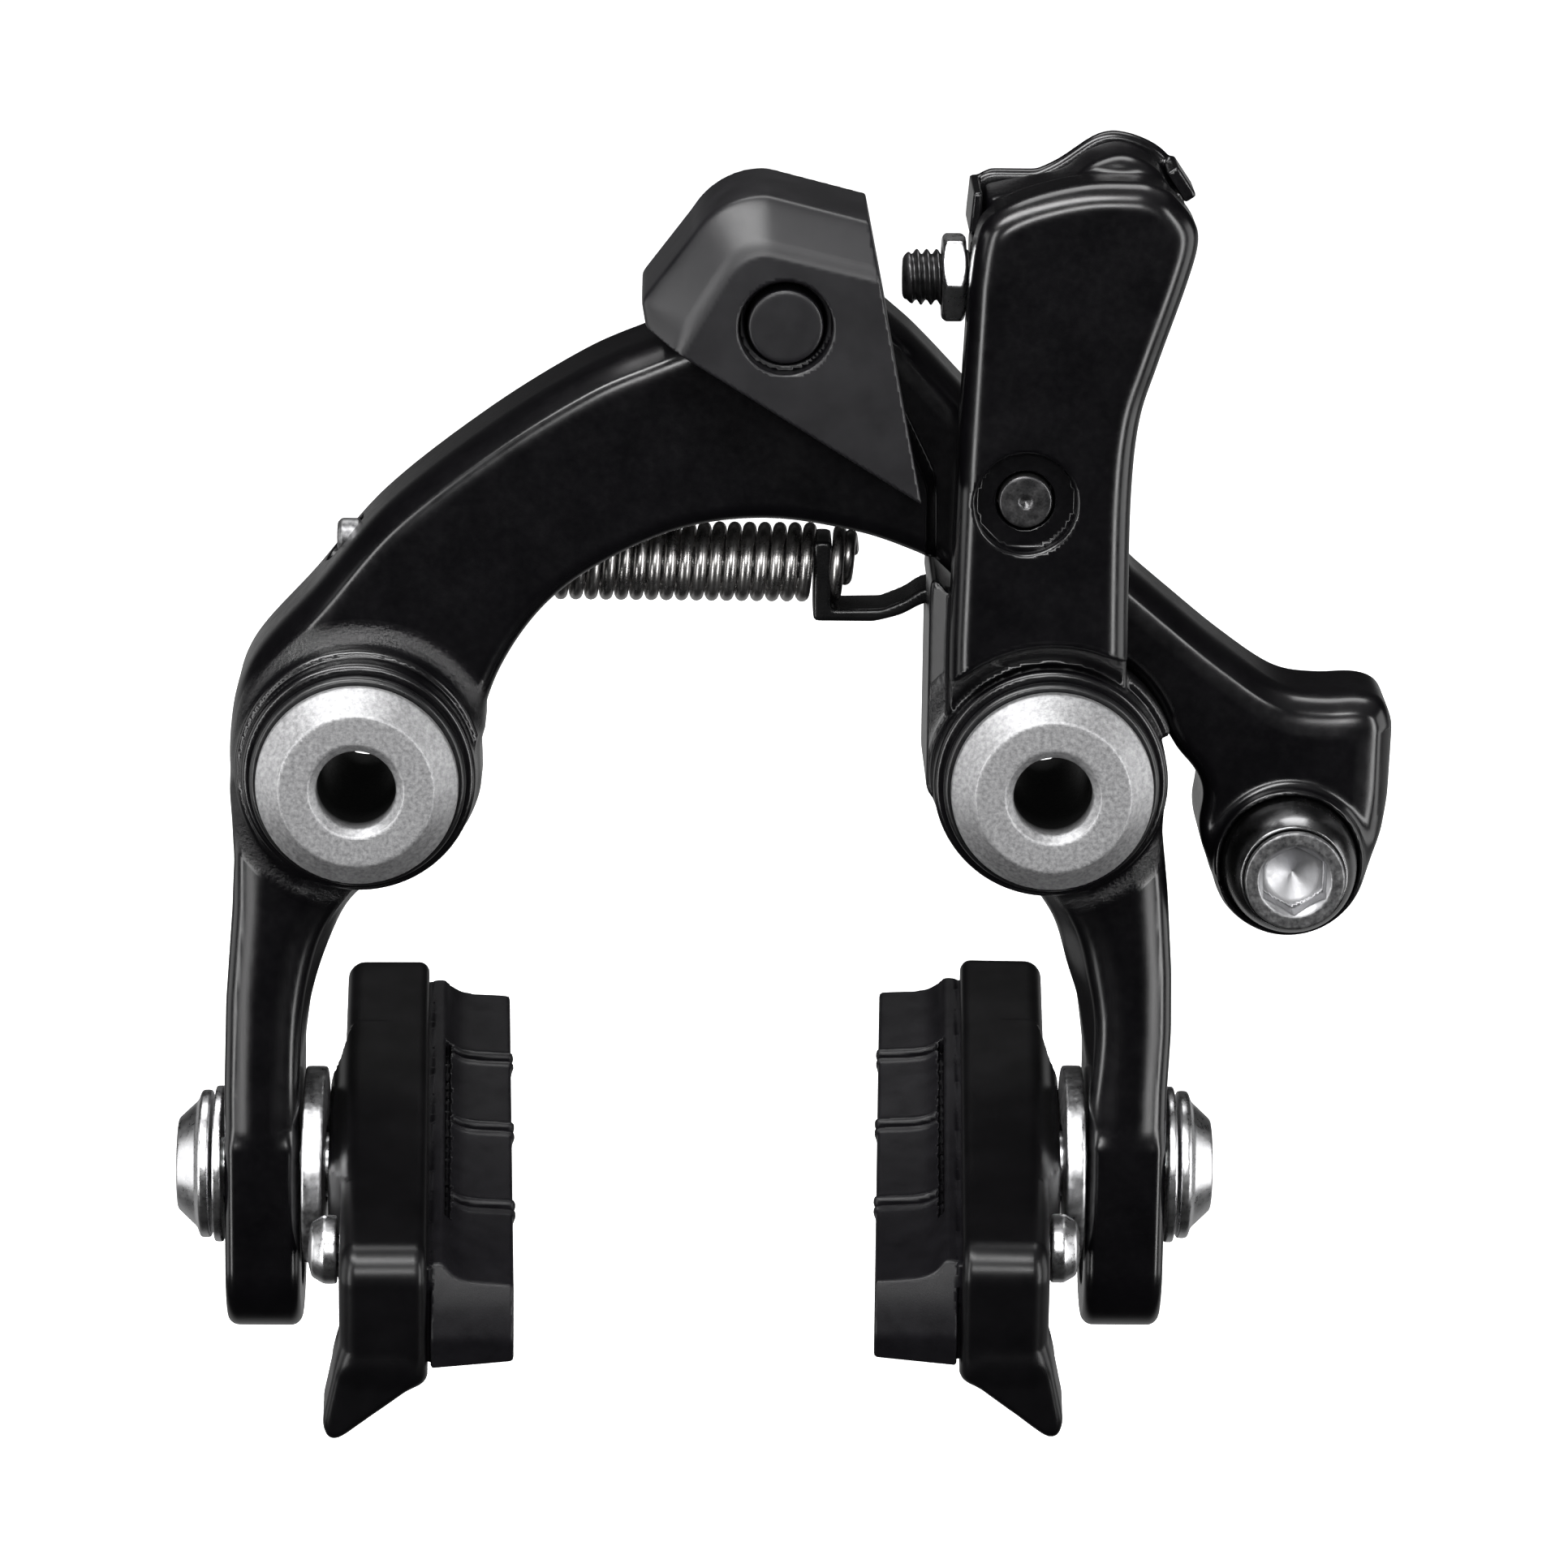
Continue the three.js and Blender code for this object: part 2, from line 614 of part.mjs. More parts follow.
/** Socket for the end of the cable housing, on a stem let into the head. */
function cableStop() {
  const tilt = THREE.MathUtils.degToRad(STOP.tilt);
  const place = (profile, facets) => asSolid(
    new THREE.LatheGeometry([...profile, profile[0]].map(([r, z]) => new THREE.Vector2(r, z)), facets)
      .rotateX(Math.PI / 2).rotateY(-tilt).translate(STOP.x, STOP.y, STOP.z));
  const barrel = place([[0, -4.5], [3.2, -4.5], [3.6, -4.1], [3.6, 4.1], [3.2, 4.5], [0, 4.5]], 20);
  const bore = place([[0, -5], [0.9, -5], [0.9, -1.5], [2.6, -1.5], [2.6, 5], [0, 5]], 16);
  const stem = turnedY(rod(2.5, 11, 20.4), [STOP.x, STOP.z], 24);
  return cut(join(barrel, stem), bore);
}

// ---------------------------------------------------------------- brake shoes

/** Group whose axes follow one shoe: x across, y along and z up its height, x = 0 mid-holder. */
function shoeGroup(side) {
  const group = new THREE.Group();
  group.position.set(side.holderOuter - side.sign * SHOE_WIDTH / 2, SHOE_Y, side.boltZ);
  group.rotation.set(
    THREE.MathUtils.degToRad(SHOE_PITCH), 0, THREE.MathUtils.degToRad(-side.sign * SHOE_TOE), 'ZXY');
  return group;
}

/** Mirrors an X range for the side: outwards is positive. */
function range(side, a, b) {
  const [low, high] = [side.sign * a, side.sign * b].sort((p, q) => p - q);
  return [low, high];
}

function padHolder(side) {
  const s = side.sign;
  const halfLength = SHOE_LENGTH / 2;
  const shell = plateX(
    roundedRectangle(halfLength, SHOE_HEIGHT / 2, 2, 4), ...range(side, -SHOE_WIDTH / 2, SHOE_WIDTH / 2), 1);
  const rectangle = (y, z, x) => [[y, z], [-y, z], [y, -z], [-y, -z]].map(
    ([a, b]) => new THREE.Vector3(s * x, a, b));
  const boltPad = asSolid(new ConvexGeometry(
    [...rectangle(12, 4.8, 2.6), ...rectangle(12, 4.8, 3.5), ...rectangle(8.6, 4, 4.7)]));
  const wing = [[3.3, -3], [3.9, -4.2], [4.9, -9.1], [4.5, -10.7], [3.6, -10.6], [-3.2, -5.2], [-2, -3]];
  const guide = plateY(wing.map(([x, z]) => [s * x, z]), -halfLength + 0.2, -halfLength + 6, 0.5);
  const channel = box(range(side, -4, 0.5), [-halfLength + 1.6, halfLength - 1.6], [-4.6, 4.6]);
  const boltHole = turnedX(rod(3.1, ...range(side, -1, 6)), [0, 0], 24);
  const screwHole = turnedX(rod(1.5, ...range(side, -1, 6)), PAD_SCREW, FINE_ROUND);
  return cut(join(shell, boltPad, guide), channel, boltHole, screwHole);
}

function brakePad(side) {
  const s = side.sign;
  const halfLength = SHOE_LENGTH / 2;
  const face = -SHOE_WIDTH / 2 - PAD_PROUD;
  const section = [
    [0.2, 4.3], [-3.8, 4.3], [-4.7, 4.4], [-6, 3.3], [face, 2.8], [face, -3.6], [-3.8, -4.3], [0.2, -4.3],
  ];
  const block = plateY(section.map(([x, z]) => [s * x, z]), -halfLength - 1, halfLength + 1);
  const sideView = [
    [-halfLength + 3.6, 5],
    [-halfLength + 0.3, -1.4],
    [-halfLength + 1, -5],
    [halfLength - 1.6, -5],
    [halfLength - 1.6, 5],
  ];
  const proud = plateX(sideView, ...range(side, face - 1, -SHOE_WIDTH / 2 - FIT_GAP));
  const seated = box(range(side, -3.9, 1), [-halfLength + 1.9, halfLength - 1.9], [-4.31, 4.31]);
  const grooves = GROOVES_Y.map((y) => join(
    box(range(side, face - 1, face + 1.4), [y - 0.5, y + 0.5], [-6, 6]),
    box(range(side, face - 1, face + 5), [y - 0.5, y + 0.5], [2, 6])));
  return cut(block.intersect(join(proud, seated)), ...grooves);
}

function padScrew(side) {
  const profile = [[0, 0.9], [1.2, 0.9], [1.2, 3.8], [2.8, 3.8], [2.8, 4.9], [2.2, 5.9], [1, 6.2], [0, 6.2]];
  return turnedX(profile.map(([r, x]) => [r, side.sign * x]), PAD_SCREW, FINE_ROUND);
}

// ---------------------------------------------------------------- pad bolts and washers

function padBolt(side) {
  const s = side.sign;
  const seat = side.armOuter + s * 1.25;
  const head = turnedX([
    [0, side.holderOuter - s * 2.4],
    [2.7, side.holderOuter - s * 2.4],
    [2.7, seat],
    [6.15, seat],
    [6.15, seat + s * 0.9],
    [5.3, seat + s * 1.2],
    [3.65, seat + s * 2.85],
    [0, seat + s * 2.85],
  ], [SHOE_Y, side.boltZ], 24);
  const grip = hexagon(4).map(([a, b]) => [a + SHOE_Y, b + side.boltZ]);
  const [low, high] = [seat + s * 0.9, seat + s * 4].sort((p, q) => p - q);
  return cut(head, plateX(grip, low, high));
}

function outerWasher(side) {
  const from = side.armOuter + side.sign * 0.25;
  return turnedX(ring(3.1, 6.5, from, from + side.sign * 0.75), [SHOE_Y, side.boltZ], 24);
}

function innerWasher(side) {
  const from = side.armInner - side.sign * 0.25;
  const to = side.holderOuter + side.sign * 1.7;
  return turnedX(ring(3.1, 8.2, from, to), [SHOE_Y, side.boltZ], 28);
}

// ---------------------------------------------------------------- assembly

const caliper = new THREE.Group();

function add(name, solid, look, parent = caliper) {
  const mesh = new THREE.Mesh(asGeometry(solid), look);
  mesh.name = name;
  parent.add(mesh);
}

for (const [name, x] of [['left', -PIVOT_X], ['right', PIVOT_X]]) {
  add(`${name}_pivot_bush`, pivotBush(x), BUSH_STEEL);
  add(`${name}_pivot_seal`, pivotSeal(x), SEAL_BLACK);
  add(`${name}_thrust_washer`, thrustWasher(x), BRIGHT_STEEL);
  add(`${name}_bush_nut`, bushNut(x), BRIGHT_STEEL);
}

add('left_arm', leftArm(), GLOSS_BLACK);
add('cam_block', camBlock(), SATIN_BLACK);
add('cam_block_pin', camBlockPin(), DARK_STEEL);
add('spring_screw', springScrew(), BRIGHT_STEEL);
add('anchor_bolt', anchorBolt(), BUSH_STEEL);
add('anchor_washer', anchorWasher(), DARK_STEEL);
add('clamp_plate', clampPlate(), BRIGHT_STEEL);
add('clamp_nut', clampNut(), BRIGHT_STEEL);

add('right_arm', rightArm(), GLOSS_BLACK);
add('roller_pin', rollerPin(), DARK_STEEL);
add('cam_roller', roller(), BRIGHT_STEEL);
add('limit_screw', limitScrew(), DARK_STEEL);
add('limit_nut', limitNut(), BRIGHT_STEEL);
add('spring_bracket', springBracket(), SEAL_BLACK);
add('head_cover', headCover(), GLOSS_BLACK);
add('cover_screw', coverScrew(), DARK_STEEL);
add('cable_stop', cableStop(), SATIN_BLACK);
add('return_spring', returnSpring(), SPRING_STEEL);

for (const [name, side] of [['left', LEFT], ['right', RIGHT]]) {
  const shoe = shoeGroup(side);
  caliper.add(shoe);
  add(`${name}_pad_holder`, padHolder(side), GLOSS_BLACK, shoe);
  add(`${name}_brake_pad`, brakePad(side), RUBBER, shoe);
  add(`${name}_pad_screw`, padScrew(side), BRIGHT_STEEL, shoe);
  add(`${name}_pad_bolt`, padBolt(side), BRIGHT_STEEL);
  add(`${name}_outer_washer`, outerWasher(side), BRIGHT_STEEL);
  add(`${name}_inner_washer`, innerWasher(side), BRIGHT_STEEL);
}

export default caliper;
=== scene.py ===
"""Looks of a direct-mount dual-pivot rim brake caliper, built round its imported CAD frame.

Shapes are signed distance fields in millimetres, in the frame of the CAD model: +X from the left pivot
to the right one, +Y towards the front of the brake, +Z up. Each field becomes one smooth mesh that
stands for one CAD node. Outlines are (x, z) points unless a comment says otherwise.
"""

import functools
import json
import math

import bpy
import numpy as np
from mathutils import Matrix, Vector

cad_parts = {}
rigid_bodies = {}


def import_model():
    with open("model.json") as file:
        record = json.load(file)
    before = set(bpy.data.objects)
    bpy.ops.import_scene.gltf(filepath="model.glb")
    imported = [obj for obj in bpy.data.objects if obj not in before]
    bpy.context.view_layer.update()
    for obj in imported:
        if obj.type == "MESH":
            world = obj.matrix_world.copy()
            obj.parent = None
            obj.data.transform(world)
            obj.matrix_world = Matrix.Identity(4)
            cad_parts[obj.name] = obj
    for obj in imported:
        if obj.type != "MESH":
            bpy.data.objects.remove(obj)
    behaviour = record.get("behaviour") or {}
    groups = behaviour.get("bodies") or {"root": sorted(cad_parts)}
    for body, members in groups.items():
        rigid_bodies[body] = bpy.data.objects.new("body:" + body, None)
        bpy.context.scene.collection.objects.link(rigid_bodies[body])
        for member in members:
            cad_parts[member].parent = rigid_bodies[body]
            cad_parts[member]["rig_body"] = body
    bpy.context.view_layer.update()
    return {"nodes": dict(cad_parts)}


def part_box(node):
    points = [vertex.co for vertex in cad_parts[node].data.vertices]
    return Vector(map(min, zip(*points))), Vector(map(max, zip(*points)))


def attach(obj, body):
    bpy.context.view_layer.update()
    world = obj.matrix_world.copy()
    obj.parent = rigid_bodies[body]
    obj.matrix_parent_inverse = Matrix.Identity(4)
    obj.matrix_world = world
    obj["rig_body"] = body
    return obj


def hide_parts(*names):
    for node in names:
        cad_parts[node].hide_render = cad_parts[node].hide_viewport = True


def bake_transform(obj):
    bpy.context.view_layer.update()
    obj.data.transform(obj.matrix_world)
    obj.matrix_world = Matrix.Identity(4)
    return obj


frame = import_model()
scene = bpy.context.scene

MM = 0.001


# ---- places taken from the frame

def span(node):
    """Lowest and highest corner of a CAD node in millimetres."""
    low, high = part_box(node)
    return np.array(low) / MM, np.array(high) / MM


def middle(node):
    low, high = span(node)
    return (low + high) / 2


PIVOT_X = round(float(middle("right_pivot_bush")[0]), 3)
CAM_PIN = middle("cam_block_pin")[[0, 2]]
ROLLER_PIN = middle("roller_pin")[[0, 2]]
ANCHOR = middle("anchor_bolt")[[0, 2]]
LIMIT_SCREW = middle("limit_nut")[[1, 2]]
SPRING_SCREW = middle("spring_screw")[[1, 2]]
COVER_SCREW = middle("cover_screw")[[0, 2]]
SHOE_Y = float(middle("left_pad_bolt")[1])


# ---- driving dimensions, as in the CAD

SLEEVE_R = 6.0
BOSS_BORE_R = 6.12
BOSS_R = 9.5
BOSS_REAR_Y = 4.2
ARM_FRONT_Y = 21.0
FIT_GAP = 0.3
BOX_MARGIN = 0.2              # how far a carved piece may reach past its CAD node's box

LEFT_REAR_Y = 8.0
CROSSING_Y = 10.3
UPRIGHT_REAR_Y = 3.0
UPRIGHT_FRONT_Y = 9.6
WEB_REAR_Y = 6.2
WEB_LEFT_X = 18.0

STOP = {"place": (32.8, 22.6, 43.6), "tilt": 14}
SPRING = {"y": 19, "z": 14.8, "coil": 2.75, "wire": 0.54, "pitch": 1.24, "start": -25, "turns": 27}
CAM_PIN_HOLE_R = 3.3
ROLLER_PIN_HOLE_R = 2.35
ANCHOR_HOLE_R = 2.8
LIMIT_HOLE_R = 2.55
STOP_HOLE_R = 2.8
SMALL_HOLE_R = 1.5            # for the cover's screw and the pads' screws
SPRING_CHANNEL_R = 3.9
SPRING_CHANNEL_END_X = -26.6

SHOE_LENGTH = 56.4
SHOE_HEIGHT = 12.5
SHOE_WIDTH = 7.0
SHOE_PITCH = 8.9
SHOE_TOE = 1.75
PAD_PROUD = 6.95
PAD_SCREW = (-15.0, 0.0)      # (y, z) in the shoe's own axes
GROOVES_Y = (-13.0, 1.0, 14.0)
LEG_WIDTH_Y = 13.0
LEG_END_BELOW_BOLT = 13.8
LEG_TOP_Z = 10                # inside the arm
LEG_OUTLINE_LOW_Z = -53       # below the round end

LEFT = {"name": "left", "sign": -1, "bolt_z": -35.7, "outer": -39.3, "inner": -33.05, "holder": -29.65}
RIGHT = {"name": "right", "sign": 1, "bolt_z": -35.1, "outer": 38.4, "inner": 31.9, "holder": 28.65}


# ---- outlines

def curve(points, steps):
    """Points on one smooth curve through the given points."""
    points = np.asarray(points, float)
    last = len(points) - 1
    path = []
    for t in np.linspace(0, last, steps + 1):
        i = min(int(t), last - 1)
        s = t - i
        before, a, b, after = points[max(i - 1, 0)], points[i], points[i + 1], points[min(i + 2, last)]
        leave, arrive = (b - before) / 2, (after - a) / 2
        path.append((2 * a - 2 * b + leave + arrive) * s ** 3
                    + (3 * b - 3 * a - 2 * leave - arrive) * s ** 2 + leave * s + a)
    return [tuple(p) for p in path]


def arc(centre, radius, start, end, steps):
    """Points on an arc, from one angle to another in degrees."""
    angles = np.radians(np.linspace(start, end, steps + 1))
    return [(centre[0] + radius * math.cos(a), centre[1] + radius * math.sin(a)) for a in angles]


LEFT_OUTER_CURVE = curve([(-38.3, -8), (-38.8, 1.5), (-37.5, 7.5), (-32.1, 13.9), (-26.3, 20.7),
                          (-17.8, 27.5), (-10.1, 32.4), (-5.2, 34.6)], 140)

TAIL_OUTER_CURVE = [
    (14.5, 36.9), (16.4, 35.3), (18.3, 33.4),
    *curve([(35.1, 15.5), (38.2, 12.9), (42.5, 9.4), (47, 6.4), (50.5, 5.8), (53.6, 5.9), (55.7, 5.2),
            (56.6, 3.1)], 140),
    (56.4, -3), (56, -5.8),
]

LEFT_ARM_OUTLINE = [
    *LEFT_OUTER_CURVE,
    (0.2, 36.6),
    *arc(CAM_PIN, 5.8, 180, 20, 30),
    *TAIL_OUTER_CURVE,
    *arc((48.2, -8.3), 6.2, -10, -170, 36),
    *curve([(40.9, -7), (40.6, -5), (40.9, -2.5), (40.2, -0.6), (38.8, 1)], 20),
    *arc((PIVOT_X, 0), 10.1, 16, 110, 27),
    (22, 13.6),
    *curve([(17.8, 17.7), (12.4, 19.6), (5, 20.7), (-2, 19.8), (-8.6, 16.8), (-13.3, 13.1), (-16.8, 7.8),
            (-18.8, 1.6)], 90),
    *arc((-PIVOT_X, 0), BOSS_R, -10, -110, 24),
]

# Everything below and left of the tail's outer curve.
TAIL_OUTER_SIDE = [(-50, 62), (7.5, 62), (11.3, 39.2), *TAIL_OUTER_CURVE, (55.5, -11), (52, -60), (-50, -60)]

# Everything on the inner side of the arm's outer curve, and of the leg below it.
LEFT_OUTER_SIDE = [*LEFT_OUTER_CURVE, (0.2, 36.8), (1.5, 58), (62, 58), (62, -60),
                   (LEFT["outer"], -60), (LEFT["outer"], -28), (-39.1, -20)]

CROSSING_AREA = [(13, 60), (60, 60), (60, -30), (19, -30), (17.9, 24), (13, 34)]

LEFT_LEG_OUTER = [(-38.4, -2), (-38.5, -12), (-39.1, -20), (LEFT["outer"], -28)]
RIGHT_LEG_OUTER = [(37.1, -2), (38, -10), (38.5, -17), (38.6, -22), (RIGHT["outer"], -27)]


def leg_outline(side, outer_line, straight_to, inner_line, end):
    """Outline of a leg: down its outer line, then up its inner one, straight at first."""
    foot = [(side["outer"], LEG_OUTLINE_LOW_Z), (side["inner"], LEG_OUTLINE_LOW_Z)]
    return [*outer_line, *foot, *curve([(side["inner"], straight_to), *inner_line], 24), end]


LEFT_LEG_OUTLINE = leg_outline(LEFT, LEFT_LEG_OUTER, -26, [
    (-32.3, -21), (-30.9, -16.4), (-28.9, -12.4), (-25.5, -9.8)], (-24, -4))
LEFT_LEG_REAR = leg_outline(LEFT, LEFT_LEG_OUTER, -28, [
    (-32.9, -22), (-32.3, -17.4), (-31.2, -13.8), (-28.6, -10)], (-27, -4))
RIGHT_LEG_OUTLINE = leg_outline(RIGHT, RIGHT_LEG_OUTER, -26, [
    (31.2, -21), (30.2, -17.8), (28.9, -13.6), (26.4, -10)], (24, -4))
RIGHT_LEG_REAR = leg_outline(RIGHT, RIGHT_LEG_OUTER, -28, [
    (32.4, -22), (31.9, -17.6), (31, -13.8), (29, -10)], (27, -4))

# The bevelled top and left of the cam block, at the bevel's foot and at its top. Two planes cut the rest.
CAM_BLOCK_FOOT = [(34, 6), (34, 40.8), *arc((4.3, 41.6), 6.6, 88, 150, 16),
                  (-5.5, 39.5), (-4.3, 33), (-4, 6)]
CAM_BLOCK_TOP = [(34, 6), (34, 37.4), *arc((4.6, 40.2), 4.1, 92, 150, 16),
                 (-2.4, 36.2), (-5.5, 31), (-5.5, 6)]
CAM_BLOCK_CUTS = (((-5.1, 37.4), (17, 23.8)), ((17, 23.8), (12.5, 46.2)))
ARM_SPACE = [
    (-20, 30.6), (-5.3, 35.2), (-0.4, 37),
    *arc(CAM_PIN, 6.2, 180, 20, 30),
    (14.7, 36.6), (19, 33), (19, 10), (-20, 10),
]

UPRIGHT_OUTLINE = [
    (19.6, 5), (19.6, 12), (20, 27), (20.6, 41),
    *curve([(20.9, 43.6), (21.7, 46.0), (24.6, 47.9), (29.7, 49.2), (34.4, 49.3)], 110),
    *curve([(36.4, 48.5), (38.2, 46.4), (38.7, 44.6), (37.9, 41.2), (35.7, 34.5), (34.4, 30),
            (33.9, 24), (33.9, 15), (34.1, 5)], 200),
]

WEB_OUTLINE = [
    (18, 16.8), (18, -1.5),
    *arc((PIVOT_X, 0), BOSS_R, 195, 360, 48),
    (37.2, 2),
    *arc((PIVOT_X, 0), BOSS_R, 15, 108, 28),
    (23.3, 9.4), (21.3, 13.2),
]

HEAD_OUTLINE = [
    (20.9, 36.6), (20.9, 43.5), (22.05, 43.6), (22.05, 47),
    *curve([(25, 47.6), (28.4, 48.4), (30.4, 49.9), (33, 50.6), (35.6, 49.4), (37, 47.3), (38.2, 45)], 42),
    (38, 41), (36.4, 36.6),
]

COVER_OUTLINE = [
    (21.6, 39), (21.4, 47.4), (22.6, 48),
    *curve([(26.4, 48), (28.2, 48.9), (31.2, 50.9), (33.4, 51.1), (36, 50.1), (37.7, 48.5)], 40),
    (38.6, 44.6), (36.4, 38.4), (33, 37), (24, 37),
]

BRACKET_OUTLINE = [
    (8.8, 10.4),
    *curve([(13.8, 10.4), (16, 11), (18, 12), (21, 12.6)], 18),
    *curve([(21, 13.8), (18, 13.3), (16.3, 12.3), (14.4, 11.5)], 18),
    (10.3, 11.4), (10.3, 17.1), (8.8, 17.1),
]


# ---- distance fields

def polygon_distance(points, u, v):
    """Signed distance to a closed outline, negative inside."""
    shape = np.broadcast(u, v).shape
    nearest = np.full(shape, np.inf)
    inside = np.zeros(shape, bool)
    for (au, av), (bu, bv) in zip(points, np.roll(points, -1, axis=0)):
        eu, ev = bu - au, bv - av
        length = eu * eu + ev * ev
        if length < 1e-12:
            continue
        pu, pv = u - au, v - av
        t = np.clip((pu * eu + pv * ev) / length, 0, 1)
        nearest = np.minimum(nearest, (pu - eu * t) ** 2 + (pv - ev * t) ** 2)
        if ev:
            inside ^= ((av <= v) != (bv <= v)) & (pu < pv * eu / ev)
    return np.where(inside, -1, 1) * np.sqrt(nearest)


def blurred(values, sigma):
    """Gaussian blur by a number of cells."""
    reach = max(1, math.ceil(3 * sigma))
    weights = np.exp(-0.5 * (np.arange(-reach, reach + 1) / max(sigma, 1e-3)) ** 2)
    weights /= weights.sum()
    for axis in (0, 1):
        pad = [(reach, reach) if a == axis else (0, 0) for a in (0, 1)]
        wide = np.pad(values, pad, mode="reflect", reflect_type="odd")
        count = values.shape[axis]
        slices = [np.take(wide, range(i, i + count), axis=axis) for i in range(2 * reach + 1)]
        values = sum(w * s for w, s in zip(weights, slices))
    return values


class Section:
    """Signed distance to a closed plane outline, kept on a grid, with corners softened a little."""

    def __init__(self, points, soften=0.35, step=0.25, margin=6.0):
        points = np.asarray(points, float)
        self.step = step
        self.low = points.min(0) - margin
        size = np.ceil((points.max(0) + margin - self.low) / step).astype(int) + 1
        u = self.low[0] + step * np.arange(size[0])[:, None]
        v = self.low[1] + step * np.arange(size[1])[None, :]
        self.grid = blurred(polygon_distance(points, u, v), soften / step).astype(np.float32)

    def __call__(self, u, v):
        u, v = np.broadcast_arrays(u, v)
        rows, cols = self.grid.shape
        gu = np.clip((u - self.low[0]) / self.step, 1, rows - 2.001)
        gv = np.clip((v - self.low[1]) / self.step, 1, cols - 2.001)
        iu, iv = gu.astype(int), gv.astype(int)
        wu, wv = cubic_weights(gu - iu), cubic_weights(gv - iv)
        flat = self.grid.ravel()
        base = (iu - 1) * cols + iv - 1
        total = 0
        for a in range(4):
            row = sum(wv[b] * flat[base + a * cols + b] for b in range(4))
            total = total + wu[a] * row
        return total


def cubic_weights(t):
    return (
        ((-t + 2) * t - 1) * t / 2,
        ((3 * t - 5) * t * t + 2) / 2,
        ((-3 * t + 4) * t + 1) * t / 2,
        (t - 1) * t * t / 2,
    )


def meet(a, b, edge=0.2):
    """What is inside both, with the edge between them rounded."""
    return np.minimum(np.maximum(a, b), -edge) + np.hypot(np.maximum(a + edge, 0), np.maximum(b + edge, 0))


def merge(a, b, fillet=0.3):
    """What is inside either, with a fillet where they join."""
    return np.maximum(np.minimum(a, b), fillet) - np.hypot(
        np.maximum(fillet - a, 0), np.maximum(fillet - b, 0))


def common(*fields):
    """What is inside all of them, with sharp edges."""
    return functools.reduce(np.maximum, fields)


def cut(a, b, edge=0.2):
    """What is inside the first and outside the second."""
    return meet(a, -b, edge)


def ramp(t, low, high):
    """Smooth rise from 0 to 1."""
    s = np.clip((t - low) / (high - low), 0, 1)
    return s * s * (3 - 2 * s)


def plate(d, t, low, high, low_edge=0.3, high_edge=None):
    """A plate between two planes along t, with rounded edges."""
    high_edge = low_edge if high_edge is None else high_edge
    return np.maximum(meet(d, low - t, low_edge), meet(d, t - high, high_edge))


def shoulder(d, t, top, across, deep):
    """Elliptical shoulder that falls from the plane t = top to the outline over a depth."""
    inward = (d + across) / across
    u = (inward + np.hypot(inward, 0.24)) / 2
    v = np.maximum((top + deep - t) / deep, 0)
    return (np.hypot(u, v) - 1 + inward - u) * across


def beyond(u, v, start, end):
    """Distance past the line from one point to another, positive on its right."""
    eu, ev = end[0] - start[0], end[1] - start[1]
    return ((u - start[0]) * ev - (v - start[1]) * eu) / math.hypot(eu, ev)


def turned_axes(u, v, centre, angle):
    """The two parts of a place along axes turned about a centre."""
    u, v = u - centre[0], v - centre[1]
    return u * math.cos(angle) - v * math.sin(angle), u * math.sin(angle) + v * math.cos(angle)


def disc(u, v, centre, radius):
    return np.hypot(u - centre[0], v - centre[1]) - radius


def capsule(u, v, a, b, radius):
    """Distance to a straight slot with round ends."""
    eu, ev = b[0] - a[0], b[1] - a[1]
    t = np.clip(((u - a[0]) * eu + (v - a[1]) * ev) / (eu * eu + ev * ev), 0, 1)
    return np.hypot(u - a[0] - eu * t, v - a[1] - ev * t) - radius


def hexagon(u, v, flats, turn=0.0):
    """A regular hexagon by its width across flats, first corner at the given angle."""
    sides = [math.radians(turn + 30 + 60 * k) for k in range(3)]
    return np.maximum.reduce([np.abs(u * math.cos(a) + v * math.sin(a)) for a in sides]) - flats / 2


def block(x, y, z, ranges, edge=0.2):
    """A box by its three ranges, with rounded edges."""
    sides = [np.abs(t - (low + high) / 2) - (high - low) / 2 for t, (low, high) in zip((x, y, z), ranges)]
    return meet(meet(sides[0], sides[1], edge), sides[2], edge)


def turned(profile, soften=0.1, step=0.1):
    """A turned shape; its profile is (radius, along), and a radius of 0 goes on past the axis."""
    return Section([(r if r > 0 else -3.0, t) for r, t in profile], soften, step, margin=2.5)


# ---- from a field to a mesh

CELL_CORNERS = np.array([(i, j, k) for i in (0, 1) for j in (0, 1) for k in (0, 1)])
CELL_EDGES = [(a, b) for a in range(8) for b in range(a + 1, 8)
              if np.abs(CELL_CORNERS[a] - CELL_CORNERS[b]).sum() == 1]


